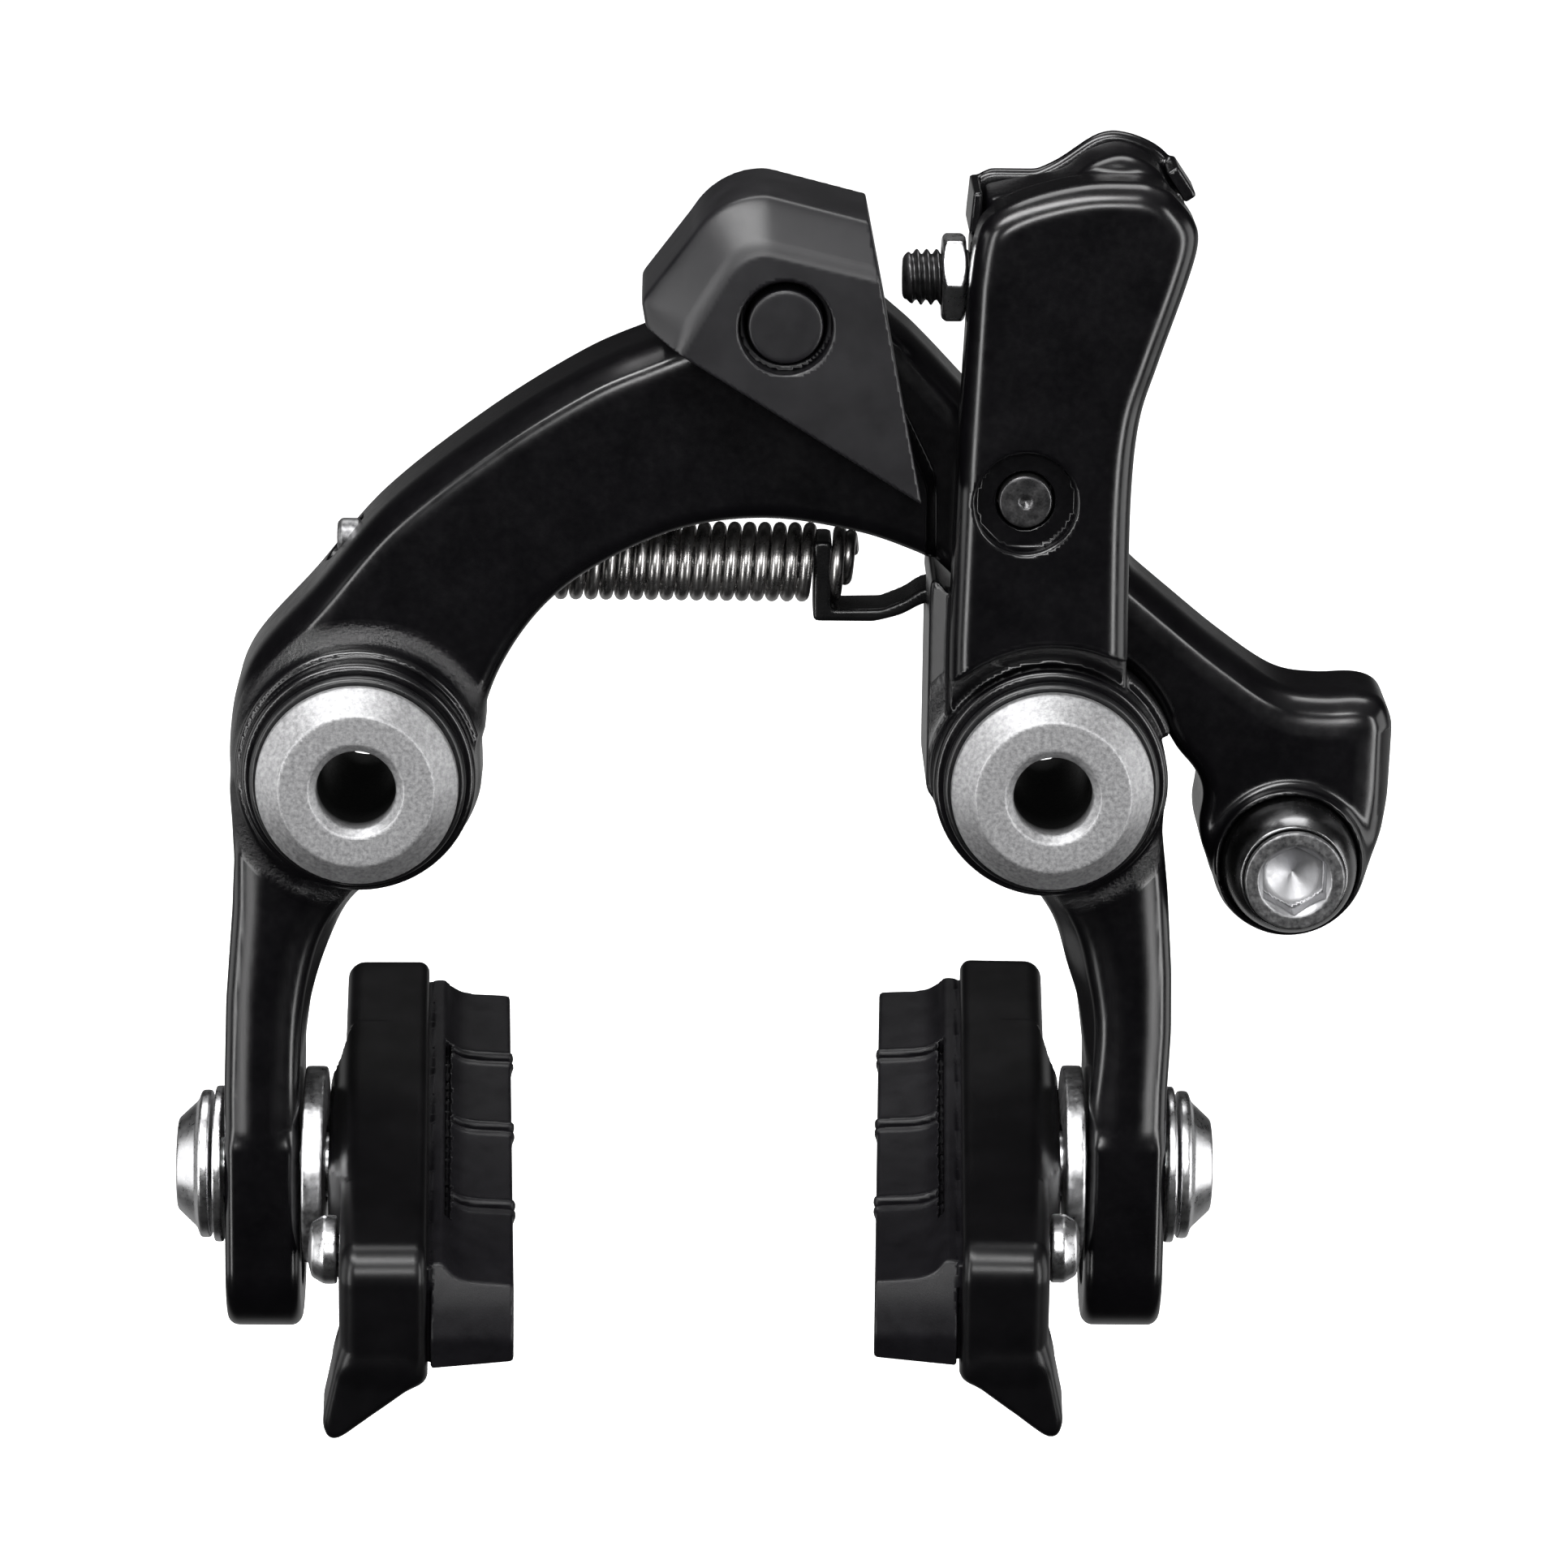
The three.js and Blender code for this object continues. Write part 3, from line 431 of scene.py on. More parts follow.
def surface_net(values):
    """Vertices, in cells, and quads of the zero surface of a grid whose border is all outside."""
    inside = values < 0
    cells = [n - 1 for n in values.shape]
    count = sum(inside[i:i + cells[0], j:j + cells[1], k:k + cells[2]].astype(np.int8)
                for i, j, k in CELL_CORNERS)
    mixed = (count > 0) & (count < 8)
    number = np.full(mixed.shape, -1, np.int64)
    number[mixed] = np.arange(mixed.sum())
    found = np.argwhere(mixed)
    corner = [values[tuple((found + c).T)] for c in CELL_CORNERS]
    total = np.zeros((len(found), 3))
    hits = np.zeros(len(found))
    for a, b in CELL_EDGES:
        crossing = (corner[a] < 0) != (corner[b] < 0)
        t = np.where(crossing, corner[a] / np.where(crossing, corner[a] - corner[b], 1), 0)
        point = CELL_CORNERS[a] + t[:, None] * (CELL_CORNERS[b] - CELL_CORNERS[a])
        total += np.where(crossing[:, None], point, 0)
        hits += crossing
    vertices = found + total / hits[:, None]
    quads = []
    for axis in range(3):
        first, second = (axis + 1) % 3, (axis + 2) % 3
        lower = np.take(inside, range(values.shape[axis] - 1), axis=axis)
        upper = np.take(inside, range(1, values.shape[axis]), axis=axis)
        edges = np.argwhere(lower != upper)
        leaving = lower[tuple(edges.T)]
        ring = []
        for da, db in ((-1, -1), (0, -1), (0, 0), (-1, 0)):
            cell = edges.copy()
            cell[:, first] += da
            cell[:, second] += db
            ring.append(number[tuple(cell.T)])
        ring = np.stack(ring, axis=1)
        quads.append(np.where(leaving[:, None], ring, ring[:, ::-1]))
    return vertices, np.concatenate(quads)


def slope(field, points, reach=0.02):
    """Gradient of a field at some points."""
    parts = [field(*(points + step).T) - field(*(points - step).T) for step in reach * np.eye(3)]
    return np.stack(parts, axis=1) / (2 * reach)


def carve(name, field, low, high, step):
    """A smooth mesh of the zero surface of a field, between two corners in millimetres."""
    low = np.asarray(low, float) - 2.6 * step
    sizes = np.ceil((np.asarray(high, float) - low) / step).astype(int) + 4
    x, y, z = ((low[a] + step * np.arange(sizes[a], dtype=np.float32)).astype(np.float32) for a in range(3))
    values = np.array(np.broadcast_to(
        field(x[:, None, None], y[None, :, None], z[None, None, :]), tuple(sizes)), np.float32)
    for axis in range(3):
        faces = np.moveaxis(values, axis, 0)
        faces[[0, -1]] = np.maximum(faces[[0, -1]], step / 10)
    cells, quads = surface_net(values)
    points = low + cells * step
    for _ in range(3):
        steepness = slope(field, points)
        height = field(*points.T)
        move = steepness * (height / np.maximum((steepness ** 2).sum(1), 0.05))[:, None]
        length = np.linalg.norm(move, axis=1, keepdims=True)
        points -= move * np.minimum(1, 0.6 * step / np.maximum(length, 1e-9))
    normals = slope(field, points)
    normals /= np.maximum(np.linalg.norm(normals, axis=1, keepdims=True), 1e-9)
    return as_object(name, points, quads, normals)


def placed(name, data):
    """A new object in the scene."""
    thing = bpy.data.objects.new(name, data)
    scene.collection.objects.link(thing)
    return thing


def as_object(name, points, quads, normals=None):
    """A Blender object from points in millimetres and quads."""
    mesh = bpy.data.meshes.new(name)
    mesh.vertices.add(len(points))
    mesh.vertices.foreach_set("co", (points * MM).astype(np.float32).ravel())
    mesh.loops.add(quads.size)
    mesh.loops.foreach_set("vertex_index", quads.astype(np.int32).ravel())
    mesh.polygons.add(len(quads))
    mesh.polygons.foreach_set("loop_start", np.arange(0, quads.size, 4, dtype=np.int32))
    mesh.update(calc_edges=True)
    mesh.validate()
    mesh.polygons.foreach_set("use_smooth", np.ones(len(mesh.polygons), bool))
    if normals is not None:
        mesh.normals_split_custom_set_from_vertices(normals.astype(np.float32).tolist())
    return placed(name, mesh)


# ---- materials

def adder(node_tree):
    """A function that adds a node; its inputs are values or sockets to link."""
    def add(kind, inputs=None, **settings):
        node = node_tree.nodes.new(kind)
        for key, value in settings.items():
            setattr(node, key, value)
        for key, value in (inputs or {}).items():
            if isinstance(value, bpy.types.NodeSocket):
                node_tree.links.new(value, node.inputs[key])
            else:
                node.inputs[key].default_value = value
        return node

    return add


def tree(name):
    """A new material with its shader and the helpers to add and link nodes."""
    material = bpy.data.materials.new(name)
    material.use_nodes = True
    nodes = material.node_tree
    return material, nodes.nodes["Principled BSDF"], adder(nodes), nodes.links


def noise(add, place, scale, detail=3.0, roughness=0.6):
    """Noise with features of about 1/scale millimetres."""
    node = add("ShaderNodeTexNoise", {"Vector": place, "Scale": scale / MM, "Detail": detail,
                                      "Roughness": roughness})
    return node.outputs["Fac"]


def mapped(add, value, low, high, start=0.3, end=0.7):
    node = add("ShaderNodeMapRange", {"Value": value, "From Min": start, "From Max": end,
                                      "To Min": low, "To Max": high})
    return node.outputs["Result"]


def maths(add, operation, a, b=0.0):
    return add("ShaderNodeMath", {0: a, 1: b}, operation=operation).outputs[0]


def reach_of(add, u, v):
    """Length of a plane vector from its two parts."""
    flat = add("ShaderNodeCombineXYZ", {"X": u, "Y": v}).outputs[0]
    return add("ShaderNodeVectorMath", {0: flat}, operation="LENGTH").outputs["Value"]


def mixed(add, factor, a, b):
    """One colour or the other; a and b are colours or sockets."""
    a, b = (c if isinstance(c, bpy.types.NodeSocket) else (*c, 1) for c in (a, b))
    return add("ShaderNodeMix", {"Factor": factor, "A": a, "B": b}, data_type="RGBA").outputs["Result"]


def surface(name, dark, light, rough, metallic=0.0, specular=0.5, mottle=0.25, grain=4.0, grain_height=0.004,
            extra=None, tint=None, tinted=(0.01, 0.01, 0.01)):
    """A material that varies in colour, roughness and height.

    dark and light are the ends of its colour, rough the ends of its roughness; mottle and grain are
    features per millimetre; grain_height is in millimetres; extra may add a height of its own, and
    tint says where the colour turns into the tinted one.
    """
    material, shader, add, links = tree(name)
    place = add("ShaderNodeTexCoord").outputs["Object"]
    patches = noise(add, place, mottle, 4)
    fine = noise(add, place, grain, 3)
    colour = mixed(add, mapped(add, patches, 0, 1), dark, light)
    if tint:
        colour = mixed(add, tint(add, place), colour, tinted)
    links.new(colour, shader.inputs["Base Color"])
    both = maths(add, "ADD", patches, fine)
    links.new(mapped(add, both, rough[0], rough[1], 0.7, 1.3), shader.inputs["Roughness"])
    shader.inputs["Metallic"].default_value = metallic
    shader.inputs["Specular IOR Level"].default_value = specular
    height = maths(add, "MULTIPLY", fine, grain_height * MM)
    if extra:
        more = extra(add, place)
        height = maths(add, "ADD", height, more)
    bump = add("ShaderNodeBump", {"Height": height, "Strength": 1.0, "Distance": 1.0})
    links.new(bump.outputs["Normal"], shader.inputs["Normal"])
    return material


def parts_of(add, place):
    return add("ShaderNodeSeparateXYZ", {"Vector": place}).outputs


def reach_from_pivot(add, place):
    """Distance from the nearer pivot axis, in metres."""
    axes = parts_of(add, place)
    side = maths(add, "ABSOLUTE", axes["X"])
    side = maths(add, "SUBTRACT", side, PIVOT_X * MM)
    return reach_of(add, side, axes["Z"])


def cast_skin(add, place):
    """Height of the rough as-cast skin in the fillets round the pivot bosses."""
    reach = reach_from_pivot(add, place)
    depth = parts_of(add, place)["Y"]
    near = mapped(add, reach, 0, 1, 10.0 * MM, 10.7 * MM)
    far = mapped(add, reach, 1, 0, 11.3 * MM, 12.3 * MM)
    rear = mapped(add, depth, 1, 0, 8.2 * MM, 9.4 * MM)
    ring = maths(add, "MULTIPLY", maths(add, "MULTIPLY", near, far), rear)
    rough = noise(add, place, 2.6, 4, 0.7)
    lumps = maths(add, "MULTIPLY", rough, 0.13 * MM)
    return maths(add, "MULTIPLY", lumps, ring)


def turning_marks(add, place):
    """Height of fine rings left by a lathe round the pivot axes."""
    reach = reach_from_pivot(add, place)
    depth = parts_of(add, place)["Y"]
    along = add("ShaderNodeCombineXYZ", {"X": reach, "Y": depth}).outputs[0]
    lines = noise(add, along, 9.0, 2)
    return maths(add, "MULTIPLY", lines, 0.006 * MM)


def painted_bore_shade(add, place):
    """Painted shade: 1 inside the bores of the pivot bushes, past their chamfers, where the colour is
    darkened to stand for the shade in the bore.
    """
    inside = mapped(add, reach_from_pivot(add, place), 1, 0, 3.25 * MM, 3.45 * MM)
    deep = mapped(add, parts_of(add, place)["Y"], 0, 1, 0.8 * MM, 2.5 * MM)
    return maths(add, "MULTIPLY", inside, deep)


def painted_socket_highlight(add, place):
    """Painted highlight: 1 in the socket of the anchor bolt, where the colour is made lighter to stand for
    the light the socket catches.
    """
    axes = parts_of(add, place)
    x = maths(add, "SUBTRACT", axes["X"], float(ANCHOR[0]) * MM)
    z = maths(add, "SUBTRACT", axes["Z"], float(ANCHOR[1]) * MM)
    return mapped(add, reach_of(add, x, z), 1, 0, 2.8 * MM, 3.1 * MM)


LOOKS = {
    "arm_gloss_black": surface(
        "gloss_black_enamel", (0.0012, 0.0011, 0.0015), (0.0022, 0.002, 0.0026), (0.2, 0.27),
        specular=0.5, grain=1.4, grain_height=0.0012, extra=cast_skin),
    "satin_black_alloy": surface(
        "satin_black_anodised", (0.0034, 0.0031, 0.0041), (0.006, 0.0056, 0.007), (0.36, 0.44),
        specular=0.55, grain=12, grain_height=0.004),
    # the bores of the pivot bushes are darkened with painted shade
    "bush_steel": surface(
        "turned_bush_steel", (0.24, 0.24, 0.245), (0.44, 0.44, 0.445), (0.44, 0.56), metallic=0.75,
        mottle=2.8, grain=7, grain_height=0.012, extra=turning_marks, tint=painted_bore_shade),
    "bright_steel": surface(
        "bright_zinc_steel", (0.55, 0.55, 0.56), (0.75, 0.75, 0.76), (0.24, 0.36), metallic=1.0,
        mottle=0.8, grain=3, grain_height=0.003),
    "dark_steel": surface(
        "dark_burnished_steel", (0.05, 0.05, 0.052), (0.11, 0.108, 0.11), (0.26, 0.42), metallic=0.9,
        mottle=1.2, grain=6, grain_height=0.003),
    "black_steel": surface(
        "black_coated_steel", (0.003, 0.003, 0.0033), (0.006, 0.006, 0.0064), (0.24, 0.34), grain=5,
        grain_height=0.002),
    "spring_steel": surface(
        "drawn_spring_wire", (0.36, 0.35, 0.345), (0.52, 0.51, 0.5), (0.24, 0.36), metallic=1.0,
        mottle=0.6, grain=7, grain_height=0.002),
    "pad_rubber": surface(
        "moulded_rubber", (0.0034, 0.0031, 0.004), (0.0058, 0.0054, 0.0068), (0.36, 0.46),
        specular=0.28, mottle=0.5, grain=9, grain_height=0.006),
    "seal_rubber": surface(
        "matt_seal_rubber", (0.003, 0.003, 0.0035), (0.006, 0.006, 0.0066), (0.26, 0.36), mottle=0.8,
        grain=8, grain_height=0.003),
    "holder_satin_black": surface(
        "satin_black_holder", (0.0014, 0.0013, 0.0016), (0.0026, 0.0024, 0.0029), (0.28, 0.35),
        specular=0.32, grain=10, grain_height=0.003),
    # the socket of the anchor bolt is lightened with a painted highlight
    "bolt_steel": surface(
        "mottled_bolt_steel", (0.09, 0.09, 0.093), (0.26, 0.26, 0.262), (0.32, 0.48), metallic=0.9,
        mottle=2.4, grain=7, grain_height=0.006, tint=painted_socket_highlight, tinted=(0.36, 0.36, 0.37)),
    "dark_chrome": surface(
        "dark_chrome", (0.14, 0.14, 0.143), (0.2, 0.2, 0.202), (0.2, 0.28), metallic=1.0, mottle=0.5,
        grain=3, grain_height=0.002),
    "plated_washer": surface(
        "mottled_plated_steel", (0.4, 0.4, 0.41), (0.8, 0.8, 0.81), (0.26, 0.42), metallic=1.0,
        mottle=1.0, grain=2.2, grain_height=0.004),
}


def finish(piece, node, slot, look=None):
    """Makes a piece stand for a CAD node, on that node's body."""
    piece.data.materials.append(LOOKS[look or slot])
    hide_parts(node)
    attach(piece, frame["nodes"][node]["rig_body"])
    return piece


def make(node, field, slot, step, look=None):
    """Carves the piece that stands for one CAD node, inside that node's own box."""
    low, high = span(node)
    return finish(carve(f"{node}_skin", field, low - BOX_MARGIN, high + BOX_MARGIN, step), node, slot, look)


def make_round(node, centre, profile, slot, step, soften=0.1):
    """A turned piece on an axis along Y."""
    section = turned(profile, soften)
    make(node, lambda x, y, z: section(disc(x, z, centre, 0), y), slot, step)


def ring_profile(hole, rim, low, high):
    """Profile of a plain washer, or of a pin if the hole is 0."""
    return [(hole, low), (rim, low), (rim, high), (hole, high)]


def hex_nut(u, v, along, flats, crown, bore, edge, bore_edge):
    """A nut whose crown rounds the corners off; u and v go across it."""
    r = np.hypot(u, v)
    return cut(meet(hexagon(u, v, flats), crown(r, along), edge), r - bore, bore_edge)


# ---- pivots

def pivot_pieces(side, pivot_x):
    centre = (pivot_x, 0)
    hole = SLEEVE_R + FIT_GAP
    make_round(f"{side}_pivot_bush", centre, [
        (3.85, 0), (6.25, 0), (8.18, 1.8), (8.18, 2.6), (SLEEVE_R, 2.6), (SLEEVE_R, 24), (3.2, 24),
        (3.2, 0.65),
    ], "bush_steel", 0.22, 0.08)
    make_round(f"{side}_pivot_seal", centre, [
        (6.3, 2.9), (8.5, 2.9), (8.75, 3.2), (8.75, 3.6), (8.5, 3.9), (6.3, 3.9),
    ], "seal_rubber", 0.2, 0.12)
    make_round(f"{side}_thrust_washer", centre, ring_profile(hole, 8.6, 21.3, 21.9), "bright_steel", 0.2)
    crown = turned([(0, 22.2), (8.2, 22.2), (8.7, 22.5), (8.7, 24), (7.9, 24.4), (0, 24.4)])
    make(f"{side}_bush_nut", lambda x, y, z: hex_nut(x - pivot_x, z, y, 15, crown, hole, 0.15, 0.3),
         "bright_steel", 0.25)


# ---- arms

def boss(x, y, z, pivot_x):
    return plate(disc(x, z, (pivot_x, 0), BOSS_R), y, BOSS_REAR_Y, ARM_FRONT_Y, 0.55, 0.6)


def slotted_leg(outline, rear_outline, side):
    """Leg with a round end, a rear face that leans back above the bolt, and a slot."""
    section = Section(outline, 0.5)
    rear_section = Section(rear_outline, 0.5)
    end_z = side["bolt_z"] - LEG_END_BELOW_BOLT + LEG_WIDTH_Y / 2
    slot_top = (SHOE_Y, side["bolt_z"] + 2.2)
    slot_end = (SHOE_Y, side["bolt_z"] - 7.2)
    bend_z = side["bolt_z"] + 4

    def field(x, y, z):
        below = np.minimum(z - end_z, 0)
        bend = ramp(z, bend_z - 1.0, bend_z + 1.0)
        deep = ramp(y, 6.5, 13.5)
        outline = rear_section(x, z) * (1 - deep) + section(x, z) * deep
        crown = ramp(outline, -2.9, -0.2)
        rear = np.maximum(SHOE_Y - y, 0) + 0.6 * bend * crown + 0.02 * np.maximum(z - bend_z, 0)
        front = np.maximum(y - SHOE_Y, 0)
        side_view = np.hypot(np.maximum(rear, front), below) - LEG_WIDTH_Y / 2
        return meet(meet(outline, side_view, 1.0), z - LEG_TOP_Z, 0.2)

    def slot(y, z):
        return capsule(y, z, slot_top, slot_end, 3.2)

    return field, slot


def left_arm():
    whole = Section(LEFT_ARM_OUTLINE, 0.45)
    outer = Section(LEFT_OUTER_SIDE, 0.45)
    tail = Section(TAIL_OUTER_SIDE, 0.6)
    crossing = Section(CROSSING_AREA, 0.6)
    leg, leg_slot = slotted_leg(LEFT_LEG_OUTLINE, LEFT_LEG_REAR, LEFT)
    pivot = (-PIVOT_X, 0)
    pocket_end = (ROLLER_PIN[0] + 4.7, ROLLER_PIN[1] - 5.9)

    def field(x, y, z):
        d = whole(x, z)
        rear = LEFT_REAR_Y + (CROSSING_Y - LEFT_REAR_Y) * ramp(-crossing(x, z), -0.4, 0.6)
        arm = plate(d, y, rear, ARM_FRONT_Y, 1.5, 0.9)
        side = outer(x, z)
        arm = meet(arm, shoulder(side, y, 7.4, 3.2, 6.0), 0.45)
        lobe = ramp(x, 43, 49)
        arm = meet(arm, shoulder(tail(x, z), y, 9.9 + 0.35 * lobe, 2.7 + 0.5 * lobe, 5.5 - 2 * lobe), 0.6)
        flare = common(meet(disc(x, z, pivot, 10.1), 6.3 - y, 0.4), y - 14)
        arm = merge(arm, common(flare, d), 1.7)
        rim = plate(disc(x, z, ANCHOR, 6.2), y, 9.3, 12, 0.4)
        rim = cut(rim, common(disc(x, z, ANCHOR, 5.75), y - 10.3), 0.15)
        arm = merge(arm, common(rim, d + 0.05), 0.9)
        body = merge(arm, boss(x, y, z, -PIVOT_X), 0.25)
        body = meet(merge(body, leg(x, y, z), 1.4), side, 0.15)
        body = cut(body, leg_slot(y, z), 0.35)
        channel = common(disc(y, z, (SPRING["y"], SPRING["z"]), SPRING_CHANNEL_R),
                         SPRING_CHANNEL_END_X - x, x + 0.5)
        mouth = common(SPRING["y"] - y, np.abs(z - SPRING["z"]) - SPRING_CHANNEL_R,
                       SPRING_CHANNEL_END_X - x, x + 1.5)
        body = cut(body, np.minimum(channel, mouth), 0.3)
        r = disc(y, z, SPRING_SCREW, 0)
        screw_hole = np.minimum(common(r - 2, x + 29.4), common(r - 1.5, x + 25))
        body = cut(body, screw_hole, 0.2)
        pocket = common(capsule(x, z, ROLLER_PIN, pocket_end, 4.55), y - 17.4, 9 - y)
        body = cut(body, pocket, 0.2)
        body = cut(body, common(disc(x, z, CAM_PIN, CAM_PIN_HOLE_R), y - 18), 0.2)
        body = cut(body, disc(x, z, ANCHOR, ANCHOR_HOLE_R), 0.2)
        facet = common((54.9 + 0.5 * (y - 10) - x) * 0.89, np.abs(z + 0.6) - 3.4)
        body = cut(body, facet, 0.35)
        return cut(body, disc(x, z, pivot, BOSS_BORE_R), 0.3)

    make("left_arm", field, "arm_gloss_black", 0.3)


def right_arm():
    upright_section = Section(UPRIGHT_OUTLINE, 0.4)
    web_section = Section(WEB_OUTLINE, 0.4)
    head_section = Section(HEAD_OUTLINE, 0.3)
    leg, leg_slot = slotted_leg(RIGHT_LEG_OUTLINE, RIGHT_LEG_REAR, RIGHT)
    pivot = (PIVOT_X, 0)

    def field(x, y, z):
        d = upright_section(x, z)
        upright = meet(d, UPRIGHT_REAR_Y - y, 2.1)
        upright = meet(upright, y - UPRIGHT_FRONT_Y, 1.0)
        step = common(disc(x, z, pivot, 11.6), y - WEB_REAR_Y)
        upright = cut(upright, step, 0.5)
        head = plate(head_section(x, z), y, UPRIGHT_FRONT_Y - 1, 16.6, 1.8, 0.7)
        web = plate(web_section(x, z), y, WEB_REAR_Y, ARM_FRONT_Y, 0.25, 0.5)
        web = meet(web, (WEB_LEFT_X - x) * 0.5 + (WEB_REAR_Y + 1.6 - y) * 0.87, 0.2)
        flange = meet(disc(x, z, pivot, 10.45), meet(32 - x, 3.2 - z, 0.4), 0.8)
        web = merge(web, plate(flange, y, 6.9, 9.8, 0.5, 0.2), 0.3)
        body = merge(upright, head, 0.5)
        body = merge(body, web, 0.3)
        body = merge(body, boss(x, y, z, PIVOT_X), 0.25)
        body = merge(body, leg(x, y, z), 1.4)
        body = cut(body, leg_slot(y, z), 0.35)
        bracket_slot = block(x, y, z, ((17, 21.4), (16.1, 21.9), (11.5, 14.1)), 0.1)
        body = cut(body, bracket_slot, 0.15)
        body = cut(body, common(disc(y, z, LIMIT_SCREW, LIMIT_HOLE_R), x - 28.9), 0.25)
        body = cut(body, common(disc(x, z, ROLLER_PIN, 4.05), y - 4.4), 0.35)
        body = cut(body, common(disc(x, z, ROLLER_PIN, ROLLER_PIN_HOLE_R), y - 12), 0.15)
        body = cut(body, common(disc(x, z, STOP["place"][::2], STOP_HOLE_R), 10 - y), 0.2)
        body = cut(body, common(disc(x, z, COVER_SCREW, SMALL_HOLE_R), 13.9 - y), 0.2)
        return cut(body, disc(x, z, pivot, BOSS_BORE_R), 0.3)

    make("right_arm", field, "arm_gloss_black", 0.3)


# ---- cam block and its pin

def cam_block():
    foot = Section(CAM_BLOCK_FOOT, 0.3, 0.2)
    top = Section(CAM_BLOCK_TOP, 0.45, 0.2)
    arm_space = Section(ARM_SPACE, 0.3, 0.25)
    face_y, bevel_y, front_y = 1.0, 3.7, 16.0

    def field(x, y, z):
        down = (y - face_y) / (bevel_y - face_y)
        down = 1 - 0.5 * (1 - down + np.hypot(1 - down, 0.12))
        side = top(x, z) * (1 - down) + foot(x, z) * down
        body = meet(side, face_y - y, 0.6)
        for start, end in CAM_BLOCK_CUTS:
            body = meet(body, beyond(x, z, start, end), 0.16)
        body = meet(body, y - front_y, 0.4)
        body = cut(body, common(arm_space(x, z), LEFT_REAR_Y - FIT_GAP - y), 0.15)
        body = cut(body, common(disc(x, z, CAM_PIN, 3.75), y - 2.8), 0.18)
        return cut(body, disc(x, z, CAM_PIN, CAM_PIN_HOLE_R), 0.15)

    make("cam_block", field, "satin_black_alloy", 0.25)
    make_round("cam_block_pin", CAM_PIN, ring_profile(0, 3, 1.5, 17.6), "satin_black_alloy", 0.2, 0.16)


# ---- spring, bracket and screws

def tube(name, path, radius, sides=16):
    """A round wire along a path of points, closed at both ends."""
    path = np.asarray(path, float)
    forward = np.gradient(path, axis=0)
    forward /= np.linalg.norm(forward, axis=1, keepdims=True)
    across = np.cross(forward[0], (0.3, 0.8, 0.5))
    across /= np.linalg.norm(across)
    angles = np.linspace(0, 2 * math.pi, sides, endpoint=False)[:, None]
    rings = []
    normals = []
    for point, ahead in zip(path, forward):
        across = across - ahead * across.dot(ahead)
        across /= np.linalg.norm(across)
        around = np.cos(angles) * across + np.sin(angles) * np.cross(ahead, across)
        rings.append(point + radius * around)
        normals.append(around)

    def dome(point, around, outward):
        """Two smaller rings past an end of the wire, and their normals."""
        shrunk = [point + radius * (around * s + outward * math.sqrt(1 - s * s)) for s in (0.75, 0.08)]
        return shrunk, [outward * 0.6 + around * 0.8, outward + around * 0]

    before, before_normals = dome(path[0], normals[0], -forward[0])
    after, after_normals = dome(path[-1], normals[-1], forward[-1])
    rings = before[::-1] + rings + after
    normals = before_normals[::-1] + normals + after_normals
    count = len(rings)
    index = np.arange(count * sides).reshape(count, sides)
    nxt = np.roll(index, -1, axis=1)
    quads = np.stack([index[:-1], nxt[:-1], nxt[1:], index[1:]], axis=2).reshape(-1, 4)
    i = np.arange(sides // 2 - 1)
    strips = np.stack([i, i + 1, sides - 2 - i, sides - 1 - i], axis=1)
    quads = np.concatenate([quads, index[0][strips[:, ::-1]], index[-1][strips]])
    return as_object(name, np.concatenate(rings), quads, np.concatenate(normals))


def coil(first_turn, last_turn, steps=36):
    """Points of the close coil between two turn counts."""
    turns = np.linspace(first_turn, last_turn, int((last_turn - first_turn) * steps) + 1)
    angle = 2 * math.pi * turns
    return np.stack([
        SPRING["start"] + turns * SPRING["pitch"],
        SPRING["y"] + SPRING["coil"] * np.sin(angle),
        SPRING["z"] + SPRING["coil"] * np.cos(angle),
    ], axis=1)


def spring():
    """Coil in two halves that meet at the middle of the spring; the right half ends in a hook."""
    y, z, radius = SPRING["y"], SPRING["z"], SPRING["coil"]
    middle_turn = 13.5
    last_turn = SPRING["turns"] + 0.2
    end_x = SPRING["start"] + last_turn * SPRING["pitch"]
    hook_turns = np.linspace(0.015, 2.05, 80)
    turn = 2 * math.pi * (last_turn + hook_turns)
    crossed = ramp(hook_turns, 0, 0.3)
    closing = ramp(hook_turns, 0.25, 1.9)
    hook_radius = radius + 0.55 * np.exp(-((hook_turns - 0.1) / 0.14) ** 2) - 1.25 * closing
    hook = np.stack([
        end_x + 1.5 * crossed + 0.9 * hook_turns,
        y + hook_radius * np.sin(turn),
        z + 0.7 * closing + hook_radius * np.cos(turn),
    ], axis=1)
    pieces = (
        ("return_spring_left_half", coil(0, middle_turn), "left_arm", "mounting_bushes"),
        ("return_spring_right_half", np.concatenate([coil(middle_turn, last_turn)[:-1], hook]),
         "mounting_bushes", "right_arm"),
    )
    for name, path, body_a, body_b in pieces:
        piece = tube(name, path, SPRING["wire"])
        piece.data.materials.append(LOOKS["spring_steel"])
        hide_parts("return_spring")
        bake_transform(piece)


def spring_fittings():
    section = Section(BRACKET_OUTLINE, 0.22, 0.15)

    def bracket(x, y, z):
        strip = plate(section(x, z), y, 16.4, 21.6, 0.3)
        return cut(strip, common(disc(y, z, (SPRING["y"], SPRING["z"]), 1.15), x - 11.5), 0.2)

    make("spring_bracket", bracket, "black_steel", 0.22)

    screw = turned([(0, -30.3), (1.1, -30.25), (1.45, -29.9), (1.45, -28.4), (1.2, -28.4), (1.2, -26.2),
                    (0, -26.2)], 0.12, 0.08)

    def spring_screw(x, y, z):
        body = screw(disc(y, z, SPRING_SCREW, 0), x)
        return cut(body, common(hexagon(y - SPRING_SCREW[0], z - SPRING_SCREW[1], 1.5), x + 29.6), 0.06)

    make("spring_screw", spring_screw, "bright_steel", 0.14, look="bolt_steel")


